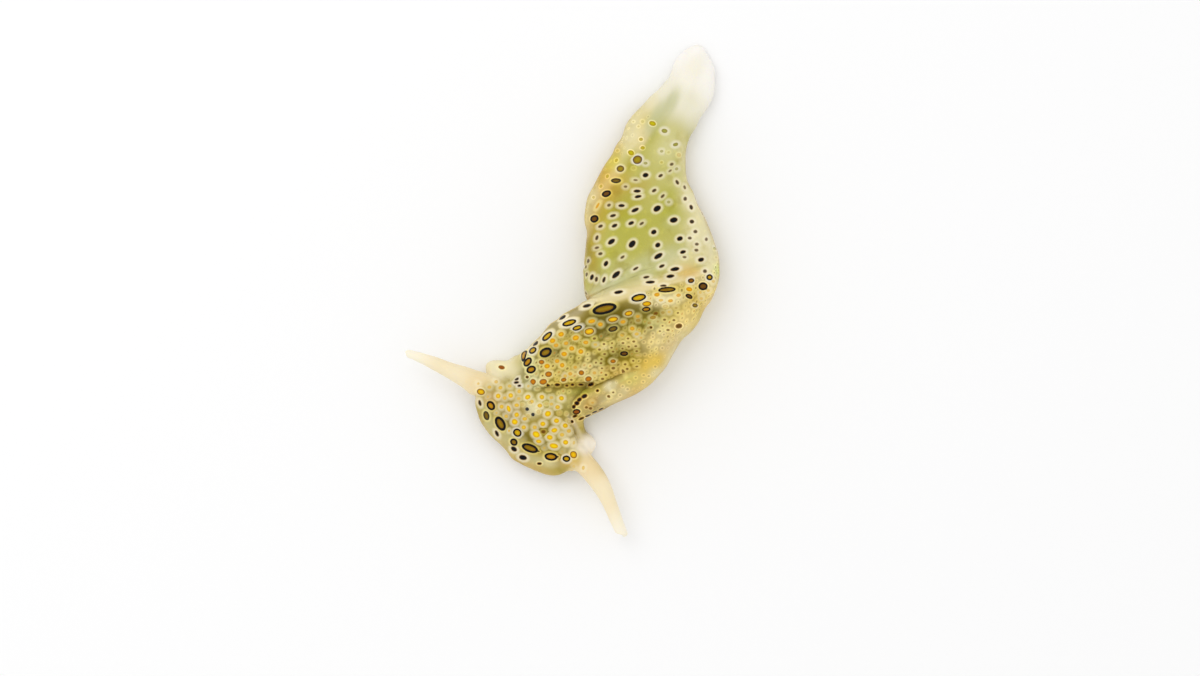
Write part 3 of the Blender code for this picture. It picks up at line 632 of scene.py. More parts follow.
def patch_under(x, y, long, wide, tilt):
    """Return the centre, two directions and two half sizes, on the skin, of an oval seen from
    above: where the skin slopes away, the oval is longer down the slope than it looks."""
    place_x, place_y = photo_point(x, y)
    centre, normal, _, _ = surface.ray_cast(Vector((place_x, place_y, 20.0)), Vector((0, 0, -1)))
    if centre is None:
        centre, normal, _, _ = surface.find_nearest(Vector((place_x, place_y, 3.0)))
    normal = np.array(normal)
    turn = math.radians(tilt)
    facing = np.array([[math.cos(turn), math.sin(turn)], [-math.sin(turn), math.cos(turn)]])
    halves = np.array([long, wide]) * PIXEL / 2
    if normal[2] > LEVEL_ENOUGH:
        return np.array(centre), normal, np.hstack([facing, np.zeros((2, 1))]), halves
    level = np.cross(normal, (0.0, 0.0, 1.0))
    level /= np.linalg.norm(level)
    downhill = np.cross(normal, level)
    flat = facing.T @ np.diag(halves ** -2.0) @ facing
    seen = np.array([level[:2], downhill[:2]]).T
    spread, axes = np.linalg.eigh(seen.T @ flat @ seen)
    sizes = np.clip(np.maximum(spread, 1e-9) ** -0.5, 0, 1.7 * halves.max())
    directions = [level * axes[0, k] + downhill * axes[1, k] for k in (0, 1)]
    return np.array(centre), normal, directions, sizes


def oval_places(centre, normal, directions, sizes, reach):
    """Return the skin points near an oval, and where each lies in it, in its half sizes."""
    found = skin_tree.find_range(Vector(centre), (sizes.max() + reach) * 1.4)
    close = np.array([index for _, index, _ in found], int)
    close = close[skin_normals[close] @ normal > SAME_SIDE]
    offset = skin_points[close] - centre
    return close, offset @ directions[0] / sizes[0], offset @ directions[1] / sizes[1]


def skin_readers():
    """Return the skin's normals, and two ways to look things up on it."""
    write_points(melted, skin_points)
    corners = [tuple(point) for point in skin_points]
    tree = KDTree(len(corners))
    for k, corner in enumerate(corners):
        tree.insert(corner, k)
    tree.balance()
    shell = BVHTree.FromPolygons(corners, [tuple(face.vertices) for face in melted.polygons])
    return read_normals(melted), tree, shell


def body_direction(height, place, side):
    """Return the body's own direction of points of the skin, the way back from floor_turn."""
    left, right, top = trunk_sizes(place)
    middle = -PRESSED + WAIST * (top + PRESSED)
    across_share = (side - (left - right) / 2) / np.maximum((left + right) / 2, 0.1)
    up_share = (height - middle) / np.where(height > middle, top - middle, middle + PRESSED)
    left, seam, right = left_edge_at(place), seam_at(place), right_edge_at(place)
    turn = (np.degrees(np.arctan2(across_share, up_share)) - left) % 360 + left
    on_left = (turn - left) / (seam - left)
    on_right = (turn - seam) / (right - seam)
    on_sole = (turn - right) / (left + 360 - right)
    return np.where(turn < seam, -SOLE_EDGE + (SEAM + SOLE_EDGE) * on_left,
                    np.where(turn < right, SEAM + (SOLE_EDGE - SEAM) * on_right,
                             SOLE_EDGE + (360 - 2 * SOLE_EDGE) * on_sole))


skin_normals, skin_tree, surface = skin_readers()
lift = np.zeros(len(skin_points))
for x, y, long, wide, tilt, height in FOLDS:
    close, u, v = oval_places(*patch_under(x, y, long, wide, tilt), 0.1 * max(long, wide))
    upward = rise(skin_normals[close, 2], -0.1, 0.5)
    lift[close] += height * upward * np.exp(-1.5 * (u ** 2 + v ** 2))
skin_points = skin_points + skin_normals * lift[:, None]
for x, y, reach, outward in OUTLINE_GIVES:
    offset = skin_points[:, :2] - photo_point(x, y)
    near_edge = np.exp(-(offset ** 2).sum(1) / (reach * PIXEL) ** 2)
    out = (skin_normals[:, :2] * near_edge[:, None]).sum(0)
    out /= np.linalg.norm(out)
    facing_out = rise(skin_normals[:, :2] @ out, -0.3, 0.6)
    skin_points[:, :2] += out * (outward * near_edge * facing_out)[:, None]
place, side = body_place(skin_points)
body_turn = body_direction(skin_points[:, 2], place, side)


# Eye spots are small cushions of skin. The large ones have a black rim round an olive or gold
# middle and stand in rows along the edges. Small yellow ones in pale rings crowd the back and
# the head, and black ones in white rings lie over the sole.

# Kind: colour of the middle from 0 black to 1 pale, widths of the black rim and the pale ring,
# whiteness of the ring, height of the cushion, and strength.
SPOT_KINDS = {
    "ringed": (0.42, 0.26, 0.22, 0.25, 0.03, 1.0),
    "amber_ringed": (0.48, 0.23, 0.22, 0.25, 0.03, 1.0),
    "brown_ringed": (0.866, 0.14, 0.12, 0.15, 0.03, 1.0),
    "brown_eye": (0.84, 0.08, 0.26, 0.8, 0.03, 1.0),
    "golden": (0.56, 0.13, 0.26, 0.75, 0.03, 1.0),
    "thin_ringed": (0.70, 0.05, 0.2, 0.6, 0.05, 1.0),
    "olive": (0.30, 0.10, 0.2, 0.5, 0.03, 0.95),
    "moss": (0.36, 0.07, 0.22, 0.64, 0.03, 0.95),
    "yellow": (0.66, 0.0, 0.3, 0.66, 0.07, 1.0),
    "dull_yellow": (0.52, 0.0, 0.24, 0.58, 0.05, 0.85),
    "orange": (0.76, 0.0, 0.26, 0.56, 0.07, 1.0),
    "amber": (0.80, 0.05, 0.24, 0.6, 0.06, 0.95),
    "brown": (0.86, 0.05, 0.1, 0.0, 0.02, 0.9),
    "red": (0.92, 0.04, 0.3, 0.6, 0.03, 0.95),
    "red_ringed": (0.92, 0.09, 0.1, 0.2, 0.03, 1.0),
    "black": (0.0, 0.02, 0.28, 0.7, 0.015, 1.0),
    "black_tail": (0.0, 0.0, 0.04, 0.0, 0.0, 1.0),
    "white_ringed_moss": (0.36, 0.07, 0.26, 1.0, 0.03, 0.95),
    "dash": (0.0, 0.02, 0.26, 0.9, 0.01, 1.0),
    "dark": (0.05, 0.03, 0.1, 0.1, 0.02, 1.0),
    "green": (0.20, 0.0, 0.3, 0.8, 0.02, 0.9),
    "lime": (0.24, 0.0, 0.1, 0.3, 0.01, 0.8),
    "plain": (0.60, 0.0, 0.04, 0.1, 0.01, 1.0),
    "pale": (1.0, 0.0, 0.1, 0.3, 0.05, 0.6),
    "dotted": (0.87, 0.0, 0.22, 0.5, 0.05, 0.85),
    "faint": (0.87, 0.0, 0.06, 0.05, 0.0, 0.4),
    "grain": (0.30, 0.0, 0.18, 0.48, 0.05, 0.8),
    "amber_grain": (0.80, 0.0, 0.18, 0.48, 0.05, 0.85),
    "speck": (0.86, 0.0, 0.02, 0.0, 0.01, 0.6),
}
# Photo position, length, width and tilt in pixels and degrees, rim included.
PHOTO_SPOTS = {
    "ringed": [
        (604, 308.5, 24, 10, 13), (545.5, 352, 12.5, 9, 25), (500, 423, 15, 9, -62),
        (529.5, 447.5, 16.5, 8, -20), (513.5, 441.5, 7.5, 6.5, -40), (666, 289.5, 17, 5, 4),
    ],
    "amber_ringed": [
        (490.5, 405, 9.5, 7.5, -55), (550.5, 456, 12.5, 7.5, -6), (531, 369, 9.5, 7, 20),
        (527.5, 361.5, 10, 6.5, 50), (645.5, 309, 8, 4.2, 5), (523.2, 354.5, 10.5, 4.2, 60),
    ],
    "golden": [
        (638, 297.5, 14.5, 7, 12), (569, 322.5, 14, 5.5, 18), (547, 336, 12, 5.5, 42),
        (532.5, 350, 8, 5.5, 35), (517, 432, 8.5, 7.5, -40), (577, 327.5, 9.5, 4.5, 16),
        (566, 458, 7.5, 6, -10), (708.5, 277, 6, 5.5, 0),
    ],
    "thin_ringed": [
        (480.5, 391, 7.5, 5.5, -15), (612.5, 319, 9.5, 5, 10), (646, 303.5, 8.5, 4.5, 5),
        (573, 454, 7, 6, -50), (589, 331, 9, 6, 12), (628, 313, 7.5, 4.6, 12),
    ],
    "brown_eye": [(690, 280.5, 6, 4.2, 10)],
    "olive": [(486, 415, 9, 5.5, -75), (615.5, 180.5, 9.5, 4.5, 0), (612.5, 328.5, 9, 5, 15)],
    "brown_ringed": [
        (702, 286, 9, 7.5, 0), (623.5, 353, 7.5, 4.5, 0), (606, 193.5, 9, 6, 20),
        (594, 218.5, 8, 7, 20), (688, 296, 7, 4, -25),
    ],
    "moss": [(620, 168.5, 7, 6, 10), (694, 305, 5, 3.5, -10)],
    "white_ringed_moss": [(637, 159.5, 9, 8, 20)],
    "black_tail": [(556.8, 456.2, 3.2, 1.6, 0), (538, 450.6, 3, 1.4, -20)],
    "black": [
        (671, 164, 4, 3, 25), (669.5, 170.5, 4, 2, 35), (645, 175, 6, 4.5, 15),
        (660, 175.5, 5, 3, 30), (635, 180, 4.5, 2, -5), (625, 186.5, 3.5, 2.5, 0),
        (676.5, 182, 5, 3, -60), (684, 187, 4, 2.5, -70), (636.5, 191, 7, 3, 0),
        (637.5, 196.5, 7, 3, 10), (653.5, 190.5, 5, 3, 30), (662, 196, 5, 2.5, 45),
        (684.5, 198.5, 4, 3.5, 80), (608.5, 205, 4, 3, 30), (621, 205.5, 6.5, 3.2, 0),
        (634.5, 210, 8, 3.5, 25), (656.5, 208.5, 8, 5.5, 35), (690.5, 207, 5, 3.5, -70),
        (612.5, 215.5, 6, 3, 15), (673, 220, 8, 5.5, 15), (691, 221.5, 4.5, 4, 0),
        (600, 226, 5, 3, 25), (614, 225.5, 6, 3.5, 25), (630.5, 223, 6, 3.5, 25),
        (641, 223.5, 5, 2.5, 35), (653, 232, 5.5, 4.5, 30), (694.5, 231.5, 4, 3.5, 0),
        (596.5, 237.5, 5, 3, 70), (611, 241.5, 8, 4.5, 35), (631.5, 244, 8.5, 5.5, 50),
        (657, 245, 5.5, 4.5, 30), (679, 238.5, 6, 4.5, 20), (689, 238, 4, 3, 0),
        (705.5, 239, 3.5, 3, 80), (696, 244, 4, 3, 0), (596.5, 247.5, 4.5, 2.5, 15),
        (600, 253.5, 4.5, 3, 15), (622, 257, 5, 2.5, 35), (657.5, 256, 9.5, 4.5, 32),
        (682, 252, 6, 3.5, 15), (695.5, 250, 4, 3, 0), (683.5, 257, 4, 2.5, -5),
        (700, 259.5, 6, 4, 15), (605.5, 263.5, 6, 4, 60), (635, 268.5, 6, 2.5, 30),
        (661, 266, 6, 3, 25), (674, 269, 9, 4, 10), (615.5, 274.5, 10, 4.5, 42),
        (591.5, 277, 6, 3.5, 70), (596, 279, 5, 3, 80), (603.5, 279.5, 6, 3, 70),
        (645.5, 277, 6, 2.5, 10), (669.5, 276, 8, 3.5, 8), (704, 271, 4, 3.5, 0),
        (587.8, 260.8, 4.5, 2.4, 75), (585.4, 266.5, 3.5, 2, 80), (586.2, 274.2, 4.2, 2.2, 80),
        (585.5, 292.7, 3.5, 2, -60), (535, 343, 6.5, 3, 40), (562, 317, 7.5, 3, 34),
        (586.5, 305.5, 8.5, 3.4, 14), (618, 292, 9, 3.3, 10), (649.5, 282, 9, 3.1, 4),
        (662.5, 285.5, 6.4, 2.2, 3), (479.5, 402.5, 6, 3, -75), (496.5, 433, 6.5, 3.2, -65),
        (513.5, 448.5, 6.5, 4.5, -30), (522.5, 457, 8, 5, -12),
    ],
    "dash": [(516.3, 378.6, 4.6, 2.2, 25), (516, 382, 5.2, 2.6, 10), (519, 385.2, 3.6, 2.2, 0)],
    "dark": [
        (527, 376.5, 3, 2.5, 0), (548, 385, 3.5, 2, 0), (557, 384, 5, 3, 0), (566.5, 385, 3, 2, 0),
        (572, 384, 3.2, 2.4, 0), (580.5, 384, 5, 2, 0), (590.5, 384, 6, 3.2, 15),
        (579, 399, 5, 3.5, 40), (576.5, 402.5, 5, 4, 0), (573.5, 406, 4, 3.5, 60),
        (574.5, 415.5, 5, 2.5, 20), (571.5, 421, 3, 3, 0), (580.8, 418, 6, 2.2, 25),
        (587.5, 414.8, 6, 1.8, 24), (594, 411.6, 6, 1.8, 25), (600.5, 408.4, 5.5, 1.8, 27),
        (539, 463, 4.5, 2.5, 0), (597, 390, 3, 2.5, 0), (584, 395.5, 6, 4, 25),
        (650, 327, 3, 2.5, 0),
    ],
    "red": [(501, 367, 6.2, 3.6, -12)],
    "red_ringed": [(576, 411, 7.5, 5, 10)],
    "yellow": [
        (489, 386.5, 4, 3.5, 0), (495.5, 381.5, 4, 3.5, 0), (500, 387.5, 4.5, 4, 0),
        (509.5, 386, 4, 3.5, 0), (519, 391, 4, 4, 0), (498, 395.5, 5, 5, 20),
        (504.5, 397.5, 4, 4, 0), (510.5, 395, 5, 5, 0), (518.5, 398, 4, 3, 0),
        (527.5, 396.5, 6, 5, 30), (541.5, 396.5, 5, 5, 0), (551, 397, 4, 3.5, 0),
        (561, 397.5, 5.5, 5, 0), (501.5, 406, 4.5, 4.5, 0), (508.5, 408, 4, 7, 20),
        (516.5, 404.5, 5, 4, 0), (531.5, 401, 4.5, 4, 0), (539.5, 405, 5, 4.5, 0),
        (551, 403.5, 4, 3.5, 0), (557, 406.5, 5, 4.5, 0), (516.5, 414, 5, 5, -50),
        (506, 415.5, 4, 4, 0), (514.5, 421, 6, 6.5, 60), (524.5, 418, 5, 4, 0),
        (523.5, 426.5, 5, 4.5, 0), (547.5, 413, 6.5, 6, 30), (542.5, 423, 5.5, 5, 0),
        (556, 420, 5.5, 5, 0), (564.5, 425, 5.5, 5, -30), (534.5, 426.5, 4.5, 4, 0),
        (536, 433.5, 8, 6.5, -30), (554, 429.5, 6.5, 5, 10), (549.5, 436.5, 6.5, 5, -20),
        (561.5, 434, 4.5, 4, 0), (538.5, 440.5, 6, 4, -10), (565, 441.5, 5.5, 5, -20),
        (553.5, 445, 9, 5.5, -10), (568, 430.5, 4.5, 4, 0), (478, 383, 3, 3, 0),
        (583, 467, 3, 4.5, 0), (595, 344, 4, 3, 0), (565, 375, 4, 3.5, 0), (660, 300, 5, 3, 5),
        (700, 298, 3.5, 3, 0), (707, 290, 3.5, 3, 0), (712, 281, 3.5, 3, 0), (699, 292, 3, 3, 0),
        (636, 333.5, 4.5, 3.5, 0), (668, 311.5, 3.4, 2.6, 0),
    ],
    "dull_yellow": [
        (637.5, 320, 5, 3.4, 0), (648.5, 322.5, 4, 3, 0), (647.5, 327.3, 3.4, 2.8, 0),
        (657, 321, 3, 2.4, 0), (662, 312.2, 4, 3, 0), (622, 334, 4.5, 3.5, 0),
        (667.5, 340.5, 2.4, 3, 0), (675, 307.5, 3, 2.4, 0), (652, 317, 6.5, 3.8, 10),
    ],
    "orange": [
        (637, 316, 4.6, 3.6, 0), (597.4, 205.5, 7, 2.4, 60), (592, 401.5, 3, 2.4, 0),
        (656, 294.5, 6, 4, 5), (591.5, 321, 7.5, 4.5, 15), (600, 324, 5.5, 4.5, 0),
        (575.5, 337.5, 7, 5.5, 20), (622.5, 321.5, 5.5, 4, 10), (552.5, 340.5, 6, 5, 20),
        (631.5, 328, 5, 4.5, 0), (621.5, 334.5, 4, 3.5, 0), (585.5, 342, 5.5, 4, 0),
        (571.5, 348, 5.5, 5, 0), (580.5, 351, 5.5, 5, 0), (564, 353.5, 6, 5, 0),
        (688, 289, 6.5, 4.5, -10), (677.5, 295, 5, 3.5, 10), (669.5, 300.5, 5.5, 3.5, 10),
        (547, 365.5, 6, 5, 10), (557, 360.5, 5, 4.5, 0), (562, 364.5, 5, 5, 0),
        (570, 373, 4.5, 4, 0), (640, 337, 3, 2.4, 0), (594, 372, 4, 3.5, 0), (561, 334, 6, 5, 20),
        (575, 366.5, 4, 3.5, 0), (556, 345, 5, 4, 10), (566, 343, 5, 4, 20),
    ],
    "amber": [
        (533, 381, 5, 5, 40), (543, 381, 7, 5, 10), (541.5, 361.5, 5, 4, 0),
        (548.5, 373.5, 6.5, 5, 10), (588, 378, 6, 4.5, 10), (581, 372, 5, 4.5, 0),
        (563.5, 379, 5, 3.5, 10), (612.5, 360.5, 5, 3.5, 0),
    ],
    "plain": [
        (652, 123, 5, 7, 70), (640.5, 139, 4, 3.5, 0), (630.5, 152.5, 5, 6.5, 60),
        (642, 147.5, 4.5, 3.5, 0), (616, 160, 4, 3, 60), (607, 176, 4, 3, 60),
        (600.5, 186, 3.5, 3, 60), (617, 150, 3, 2.5, 0), (638, 126, 2.6, 2, 0),
        (633, 121, 2.4, 2, 0), (593, 197, 3, 3, 0), (661, 162, 3, 2.5, 0),
    ],
    "lime": [
        (713.5, 248.5, 2.4, 3, 80), (715.5, 257, 2, 2.6, 80), (718, 270, 2.2, 4, 85),
        (668, 152, 3, 2.5, 0), (633, 168, 4, 3, 0), (642, 121, 3, 3, 0),
    ],
    "brown": [
        (678, 325.5, 6.5, 4.5, 10), (543, 431, 4.2, 3.4, 0), (655, 313, 4, 2.5, 10),
        (590, 407.6, 3, 2.4, 0), (585.8, 406.6, 2.6, 2.2, 0), (608, 395.5, 2.8, 2.2, 0),
    ],
    "pale": [
        (530, 402, 4, 3, 0), (522, 404, 3.5, 3, 0), (538, 411, 4, 4, 0), (528, 415, 3.5, 3, 0),
        (637, 354.5, 6, 3, 0), (546, 403, 4, 3, 0), (548, 389, 4, 2.5, 0), (537, 388, 4, 2.5, 0),
        (559, 412, 4, 4, 0), (568, 421, 5, 4, -60), (566, 413, 3, 3, 0), (678, 154.5, 4, 4, 0),
        (607, 338, 6, 3, 5), (664.5, 306, 5, 3.5, 0),
    ],
    "green": [
        (664, 130.5, 6, 4.5, -10), (675, 144, 5.5, 3.5, 20), (661, 151, 3.5, 3, 0),
        (668, 202, 3.5, 3, 0), (645, 163, 4, 3, 0), (714, 248, 3, 4, 80), (676, 168.5, 3.5, 3, 30),
    ],
    "dotted": [
        (603.5, 343.5, 3, 2.2, 0), (599, 349, 3, 2.4, 10), (611.5, 342.5, 2.4, 2, 0),
        (611, 347, 2.6, 2, 0), (612.5, 351, 3, 2, 0), (622, 348, 2.2, 1.8, 0),
        (628, 346, 2.6, 2, 0), (635, 345.5, 3, 2, 0), (633, 341, 3, 2.2, 0),
        (627.5, 338, 2.6, 2, 0), (622.5, 342.5, 3, 2, 0), (604, 353.5, 3, 2.2, 0),
        (636, 350.5, 2.6, 2, 0), (601, 358.5, 2.6, 2, 0), (600.5, 362.5, 3, 2.2, 0),
        (595.5, 362, 2.2, 2, 0), (624.5, 363.5, 3, 2.4, 0), (632.5, 360, 2.4, 2, 0),
        (636, 365.5, 3, 1.8, 0), (601.5, 367.5, 2.6, 2, 0), (612.8, 367.3, 4, 2.8, 0),
        (626.5, 368, 3, 2.2, 0), (623, 371.5, 3.4, 2.4, 0), (605.5, 374, 3, 2.4, 0),
        (602, 378, 3.4, 2.4, 0), (612.5, 391.5, 2.4, 2, 0), (608.5, 396, 2.6, 2, 0),
        (594, 338, 3.4, 2.6, 5), (663.5, 319.2, 3.2, 2.2, 0), (672.8, 319.6, 3, 2.2, 0),
        (667, 329.3, 3.4, 2.4, 0), (661.7, 325.2, 2.2, 1.8, 0), (659, 330.6, 2.2, 1.8, 0),
        (676.8, 312.5, 2.6, 2, 0), (571, 379, 3, 2.2, 0),
    ],
    "faint": [
        (649.5, 355, 2.4, 2, 0), (644, 354, 2.6, 2, 0), (654.5, 366, 2.6, 2, 0),
        (643, 374.5, 2.6, 2, 0), (648, 375.5, 2.6, 2, 0), (635, 377, 2.6, 2, 0),
        (642.5, 381, 2.4, 2, 0), (628.5, 381.5, 3, 2.2, 0), (622, 385.5, 2.4, 2, 0),
        (627, 388.5, 2.6, 2.2, 0), (619.5, 394.5, 2.4, 2, 0), (652, 333, 2.4, 2, 0),
        (652, 336.5, 2.4, 2, 0), (663, 334, 2.4, 2, 0), (661.5, 347.5, 2.4, 2, 0),
        (643, 341.5, 2.6, 2, 0), (648, 346.5, 2.4, 2, 0), (645, 360.5, 2.4, 2, 0),
    ],
}
spot_form = np.tile([9.0, 0.0, 0.0], (len(skin_points), 1))
spot_look = np.zeros((len(skin_points), 3))
spot_height = np.zeros(len(skin_points))
spot_centres = []


def oval_edge(u, v, halves):
    """Return the distance to an oval's edge, for places given in its half sizes."""
    share = np.maximum(np.hypot(u, v), 1e-6)
    slope = np.hypot(u / halves[0], v / halves[1]) / share
    return (share - 1) / np.maximum(slope, 1 / halves.max())


def lay_spot(kind, centre, normal, directions, halves, fade=1.0):
    """Write one spot into the skin: the distance to its middle's edge, and its looks. The dark
    rim is thicker at the ends of a long spot, and the pale ring is drawn out along it."""
    tint, rim, ring, whiteness, height, strength = SPOT_KINDS[kind]
    rim = min(rim, 0.45 * halves.min())
    longer = np.clip(halves / halves.min() - 1, 0, 2)
    inner = np.maximum(halves - rim * (1 + 0.25 * longer), 0.05)
    close, u, v = oval_places(centre, normal, directions, halves, ring + 0.6)
    inside = oval_edge(u * halves[0] / inner[0], v * halves[1] / inner[1], inner)
    outside = oval_edge(u, v, halves)
    across_rim = rim * inside / np.maximum(inside - outside, 1e-6)
    edge = np.where(outside >= 0, rim + outside, np.where(inside <= 0, inside, across_rim))
    nearer = edge - rim < spot_form[close, 0] - spot_form[close, 1]
    close, edge = close[nearer], edge[nearer]
    along = (np.abs(u) / np.maximum(np.hypot(u, v), 1e-6))[nearer] ** 4
    rings = ring * (1 + 0.5 * longer[0] * (along - 0.3))
    spot_form[close] = np.stack([edge, np.full(len(edge), rim), rings], -1)
    spot_look[close] = (tint, whiteness, fade * strength)
    spot_height[close] = height
    spot_centres.append(centre)


skin_normals, skin_tree, surface = skin_readers()
for kind, ovals in PHOTO_SPOTS.items():
    for x, y, long, wide, tilt in ovals:
        # The smaller ones of these kinds are fainter.
        strength = 1.0
        if kind in ("yellow", "orange", "dull_yellow"):
            strength = 0.55 + 0.45 * rise(long + wide, 6, 11)
            long, wide = 0.95 * long, 0.95 * wide
        elif kind == "black":
            strength = 0.6 + 0.4 * rise(long + wide, 5, 10)
        elif kind in ("plain", "green", "lime"):
            strength = 0.4 + 0.6 * rise(long + wide, 4, 9)
        lay_spot(kind, *patch_under(x, y, long, wide, tilt), strength)

# Between and beyond the spots that the photo shows, the same kinds are strewn over the skin,
# never closer than each part of the body has them.
SEED = 7
TRIES = 40000
MOST_SPOTS = 20000
SLANT_ON_SOLE = math.radians(55)
# Parts that stay plain: photo position and reach in pixels.
PLAIN_PARTS = [
    (498, 368, 26), (598, 447, 21), (585, 430, 14), (529.5, 411, 8), (583, 390, 7),
    (516, 455, 12), (540, 467, 12), (560, 466, 12), (490, 430, 10), (478, 408, 12),
    (606, 318, 15), (590, 326, 9), (632, 307, 11), (648, 311, 8), (600, 471, 10), (623, 357, 8),
]
chance = np.random.default_rng(SEED)
seen_above = skin_normals[:, 2] > 0.15
on_feeler = (side > 6.3) & (place < 6.0) | (side < -6.2) & (place < 4.0)
on_head = (place < 7.6) & (skin_points[:, 2] < 5.4)
on_sole_side = (body_turn > SOLE_EDGE + 6) & (body_turn < 360 - SOLE_EDGE - 6)
on_edge = (np.abs(body_turn - SOLE_EDGE) < 9) | (np.abs(body_turn + SOLE_EDGE) < 9) | (
    body_turn > 360 - SOLE_EDGE - 9)
near_seam = (body_turn > -26) & (body_turn < 46)
on_left_flap = body_turn < -24
stays_plain = on_feeler | (place > 39) | (place < 1.4) | (
    seen_above & ~on_head & (on_sole_side | on_edge | (body_turn > 46) & (place < 20)))
stays_plain |= (skin_points[:, 2] > -0.12) & (skin_points[:, 2] < 0.45)
for x, y, reach in PLAIN_PARTS:
    offset = skin_points[:, :2] - photo_point(x, y)
    stays_plain |= (offset ** 2).sum(1) < (reach * PIXEL) ** 2
# Least distance between strewn spots. Where it is 0 there are none.
spacing = np.select(
    [stays_plain, on_head & ~seen_above, on_head, on_sole_side, on_edge, on_left_flap,
     near_seam], [0.0, 1.6, 0.85, 1.3, 1.5, 0.62, 0.48], 0.5)


def strewn_spot(k):
    """Return the kind and the half sizes of a spot as the body has them round this point."""
    if on_head[k]:
        return ("yellow", [0.15, 0.13]) if seen_above[k] else ("speck", [0.1, 0.1])
    if on_sole_side[k]:
        return "black", [0.28, 0.15]
    if on_edge[k]:
        kind = chance.choice(["ringed", "golden", "black", "orange", "olive"])
        return kind, [0.42, 0.28] if kind in ("ringed", "golden") else [0.26, 0.2]
    if on_left_flap[k]:
        return chance.choice(["speck", "faint", "speck"]), [0.09, 0.07]
    if near_seam[k]:
        return chance.choice(["grain", "dotted", "amber_grain", "grain"]), [0.1, 0.07]
    return chance.choice(["amber_grain", "speck", "grain"]), [0.11, 0.08]


centres = np.zeros((MOST_SPOTS, 3))
count = len(spot_centres)
centres[:count] = spot_centres
for k in chance.permutation(len(skin_points))[:TRIES]:
    gap = spacing[k] * chance.uniform(0.85, 1.7)
    if gap == 0 or spot_form[k, 0] - spot_form[k, 1] < 0.14 + 0.25 * gap:
        continue
    centre, normal = skin_points[k], skin_normals[k]
    if ((centres[:count] - centre) ** 2).sum(1).min() < gap ** 2:
        continue
    along = np.array([*along_at(place[k]), 0.0])
    along = along - normal * (along @ normal)
    along /= max(np.linalg.norm(along), 1e-6)
    cross = np.cross(normal, along)
    if on_sole_side[k] and not on_head[k]:
        cosine, sine = math.cos(SLANT_ON_SOLE), math.sin(SLANT_ON_SOLE)
        along, cross = along * cosine - cross * sine, along * sine + cross * cosine
    size = chance.uniform(0.7, 1.5)
    kind, halves = strewn_spot(k)
    fade = chance.uniform(0.2, 0.55) if on_left_flap[k] else chance.uniform(0.4, 1.0)
    lay_spot(str(kind), centre, normal, [along, cross], np.array(halves) * size, fade)
    centres[count] = centre
    count += 1
# Each spot is raised as a cushion, flat on top and falling off across its ring.
cushion_end = spot_form[:, 1] + spot_form[:, 2] + 0.1
pillow = 1 - rise(spot_form[:, 0], 0.35 * spot_form[:, 2], cushion_end)
level_share = 0.3 + 0.7 * rise(skin_normals[:, 2], 0.0, 0.5)
skin_points = skin_points + skin_normals * (spot_height * pillow * level_share)[:, None]
skin_points[:, 2] = np.maximum(skin_points[:, 2], 0.0)


# The ground colour between the spots runs from olive and straw on the back to yellow green on the
# sole, with cream edges and a white tail. It is laid on in soft washes. Many washes also hold
# painted shade and painted light: the shady olive, olive brown, deep green and edge shade ones
# darken the seam, the flaps' front edges and the hollows between the cushions, and the buff and
# white ones, with some cream ones, lighten slopes that turn away from the lamp.

# Colours as a screen shows them, from 0 to 255.
STRAW = (196, 176, 92)
GOLD_OLIVE = (178, 156, 62)
CREAM = (229, 213, 162)
SOLE_GREEN = (188, 182, 98)
DEEP_GREEN = (170, 168, 44)
PALE_GREEN = (208, 202, 136)
GREY_GREEN = (196, 196, 150)
# Olive mixed with painted shade, laid where the flaps overlap and between the cushions.
SHADY_OLIVE = (92, 84, 16)
# Olive brown: the skin's darker patches, also used as painted shade under edges.
OLIVE_BROWN = (146, 126, 48)
# Painted shade, laid in the furrows between the cushions.
FURROW_SHADE = (118, 102, 32)
ORANGE_BUFF = (220, 178, 98)
AMBER = (198, 152, 46)
GOLD = (226, 188, 44)
DEEP_GOLD = (180, 154, 30)
LEFT_FLAP_GREEN = (220, 202, 124)
HEAD_TAN = (181, 162, 82)
HEAD_RIM = (202, 176, 108)
NECK_GREEN = (208, 200, 120)
LOBE_CREAM = (236, 226, 186)
MARGIN_CREAM = (234, 224, 180)
# The left lobe's own white, also laid as painted light on shaded slopes, the shaded lobe and the
# head's edge.
LOBE_WHITE_AND_LIGHT = (254, 244, 226)
FEELER_BASE = (238, 216, 168)
FEELER_MIDDLE = (245, 230, 194)
FEELER_TIP = (250, 242, 220)
TAIL_CREAM = (238, 233, 211)
TAIL_WHITE = (250, 246, 239)
# Painted shade: thin dark lines laid along the creases of the wrung skin.
CREASE_SHADE = (140, 132, 84)
# Partly the margins' own buff, partly painted light on slopes that turn away from the lamp.
BUFF_AND_LIGHT = (246, 220, 142)
# Painted shade: a tan laid on steep sides and along edges that turn away.
EDGE_SHADE = (190, 152, 96)
LIME_EDGE = (206, 226, 100)
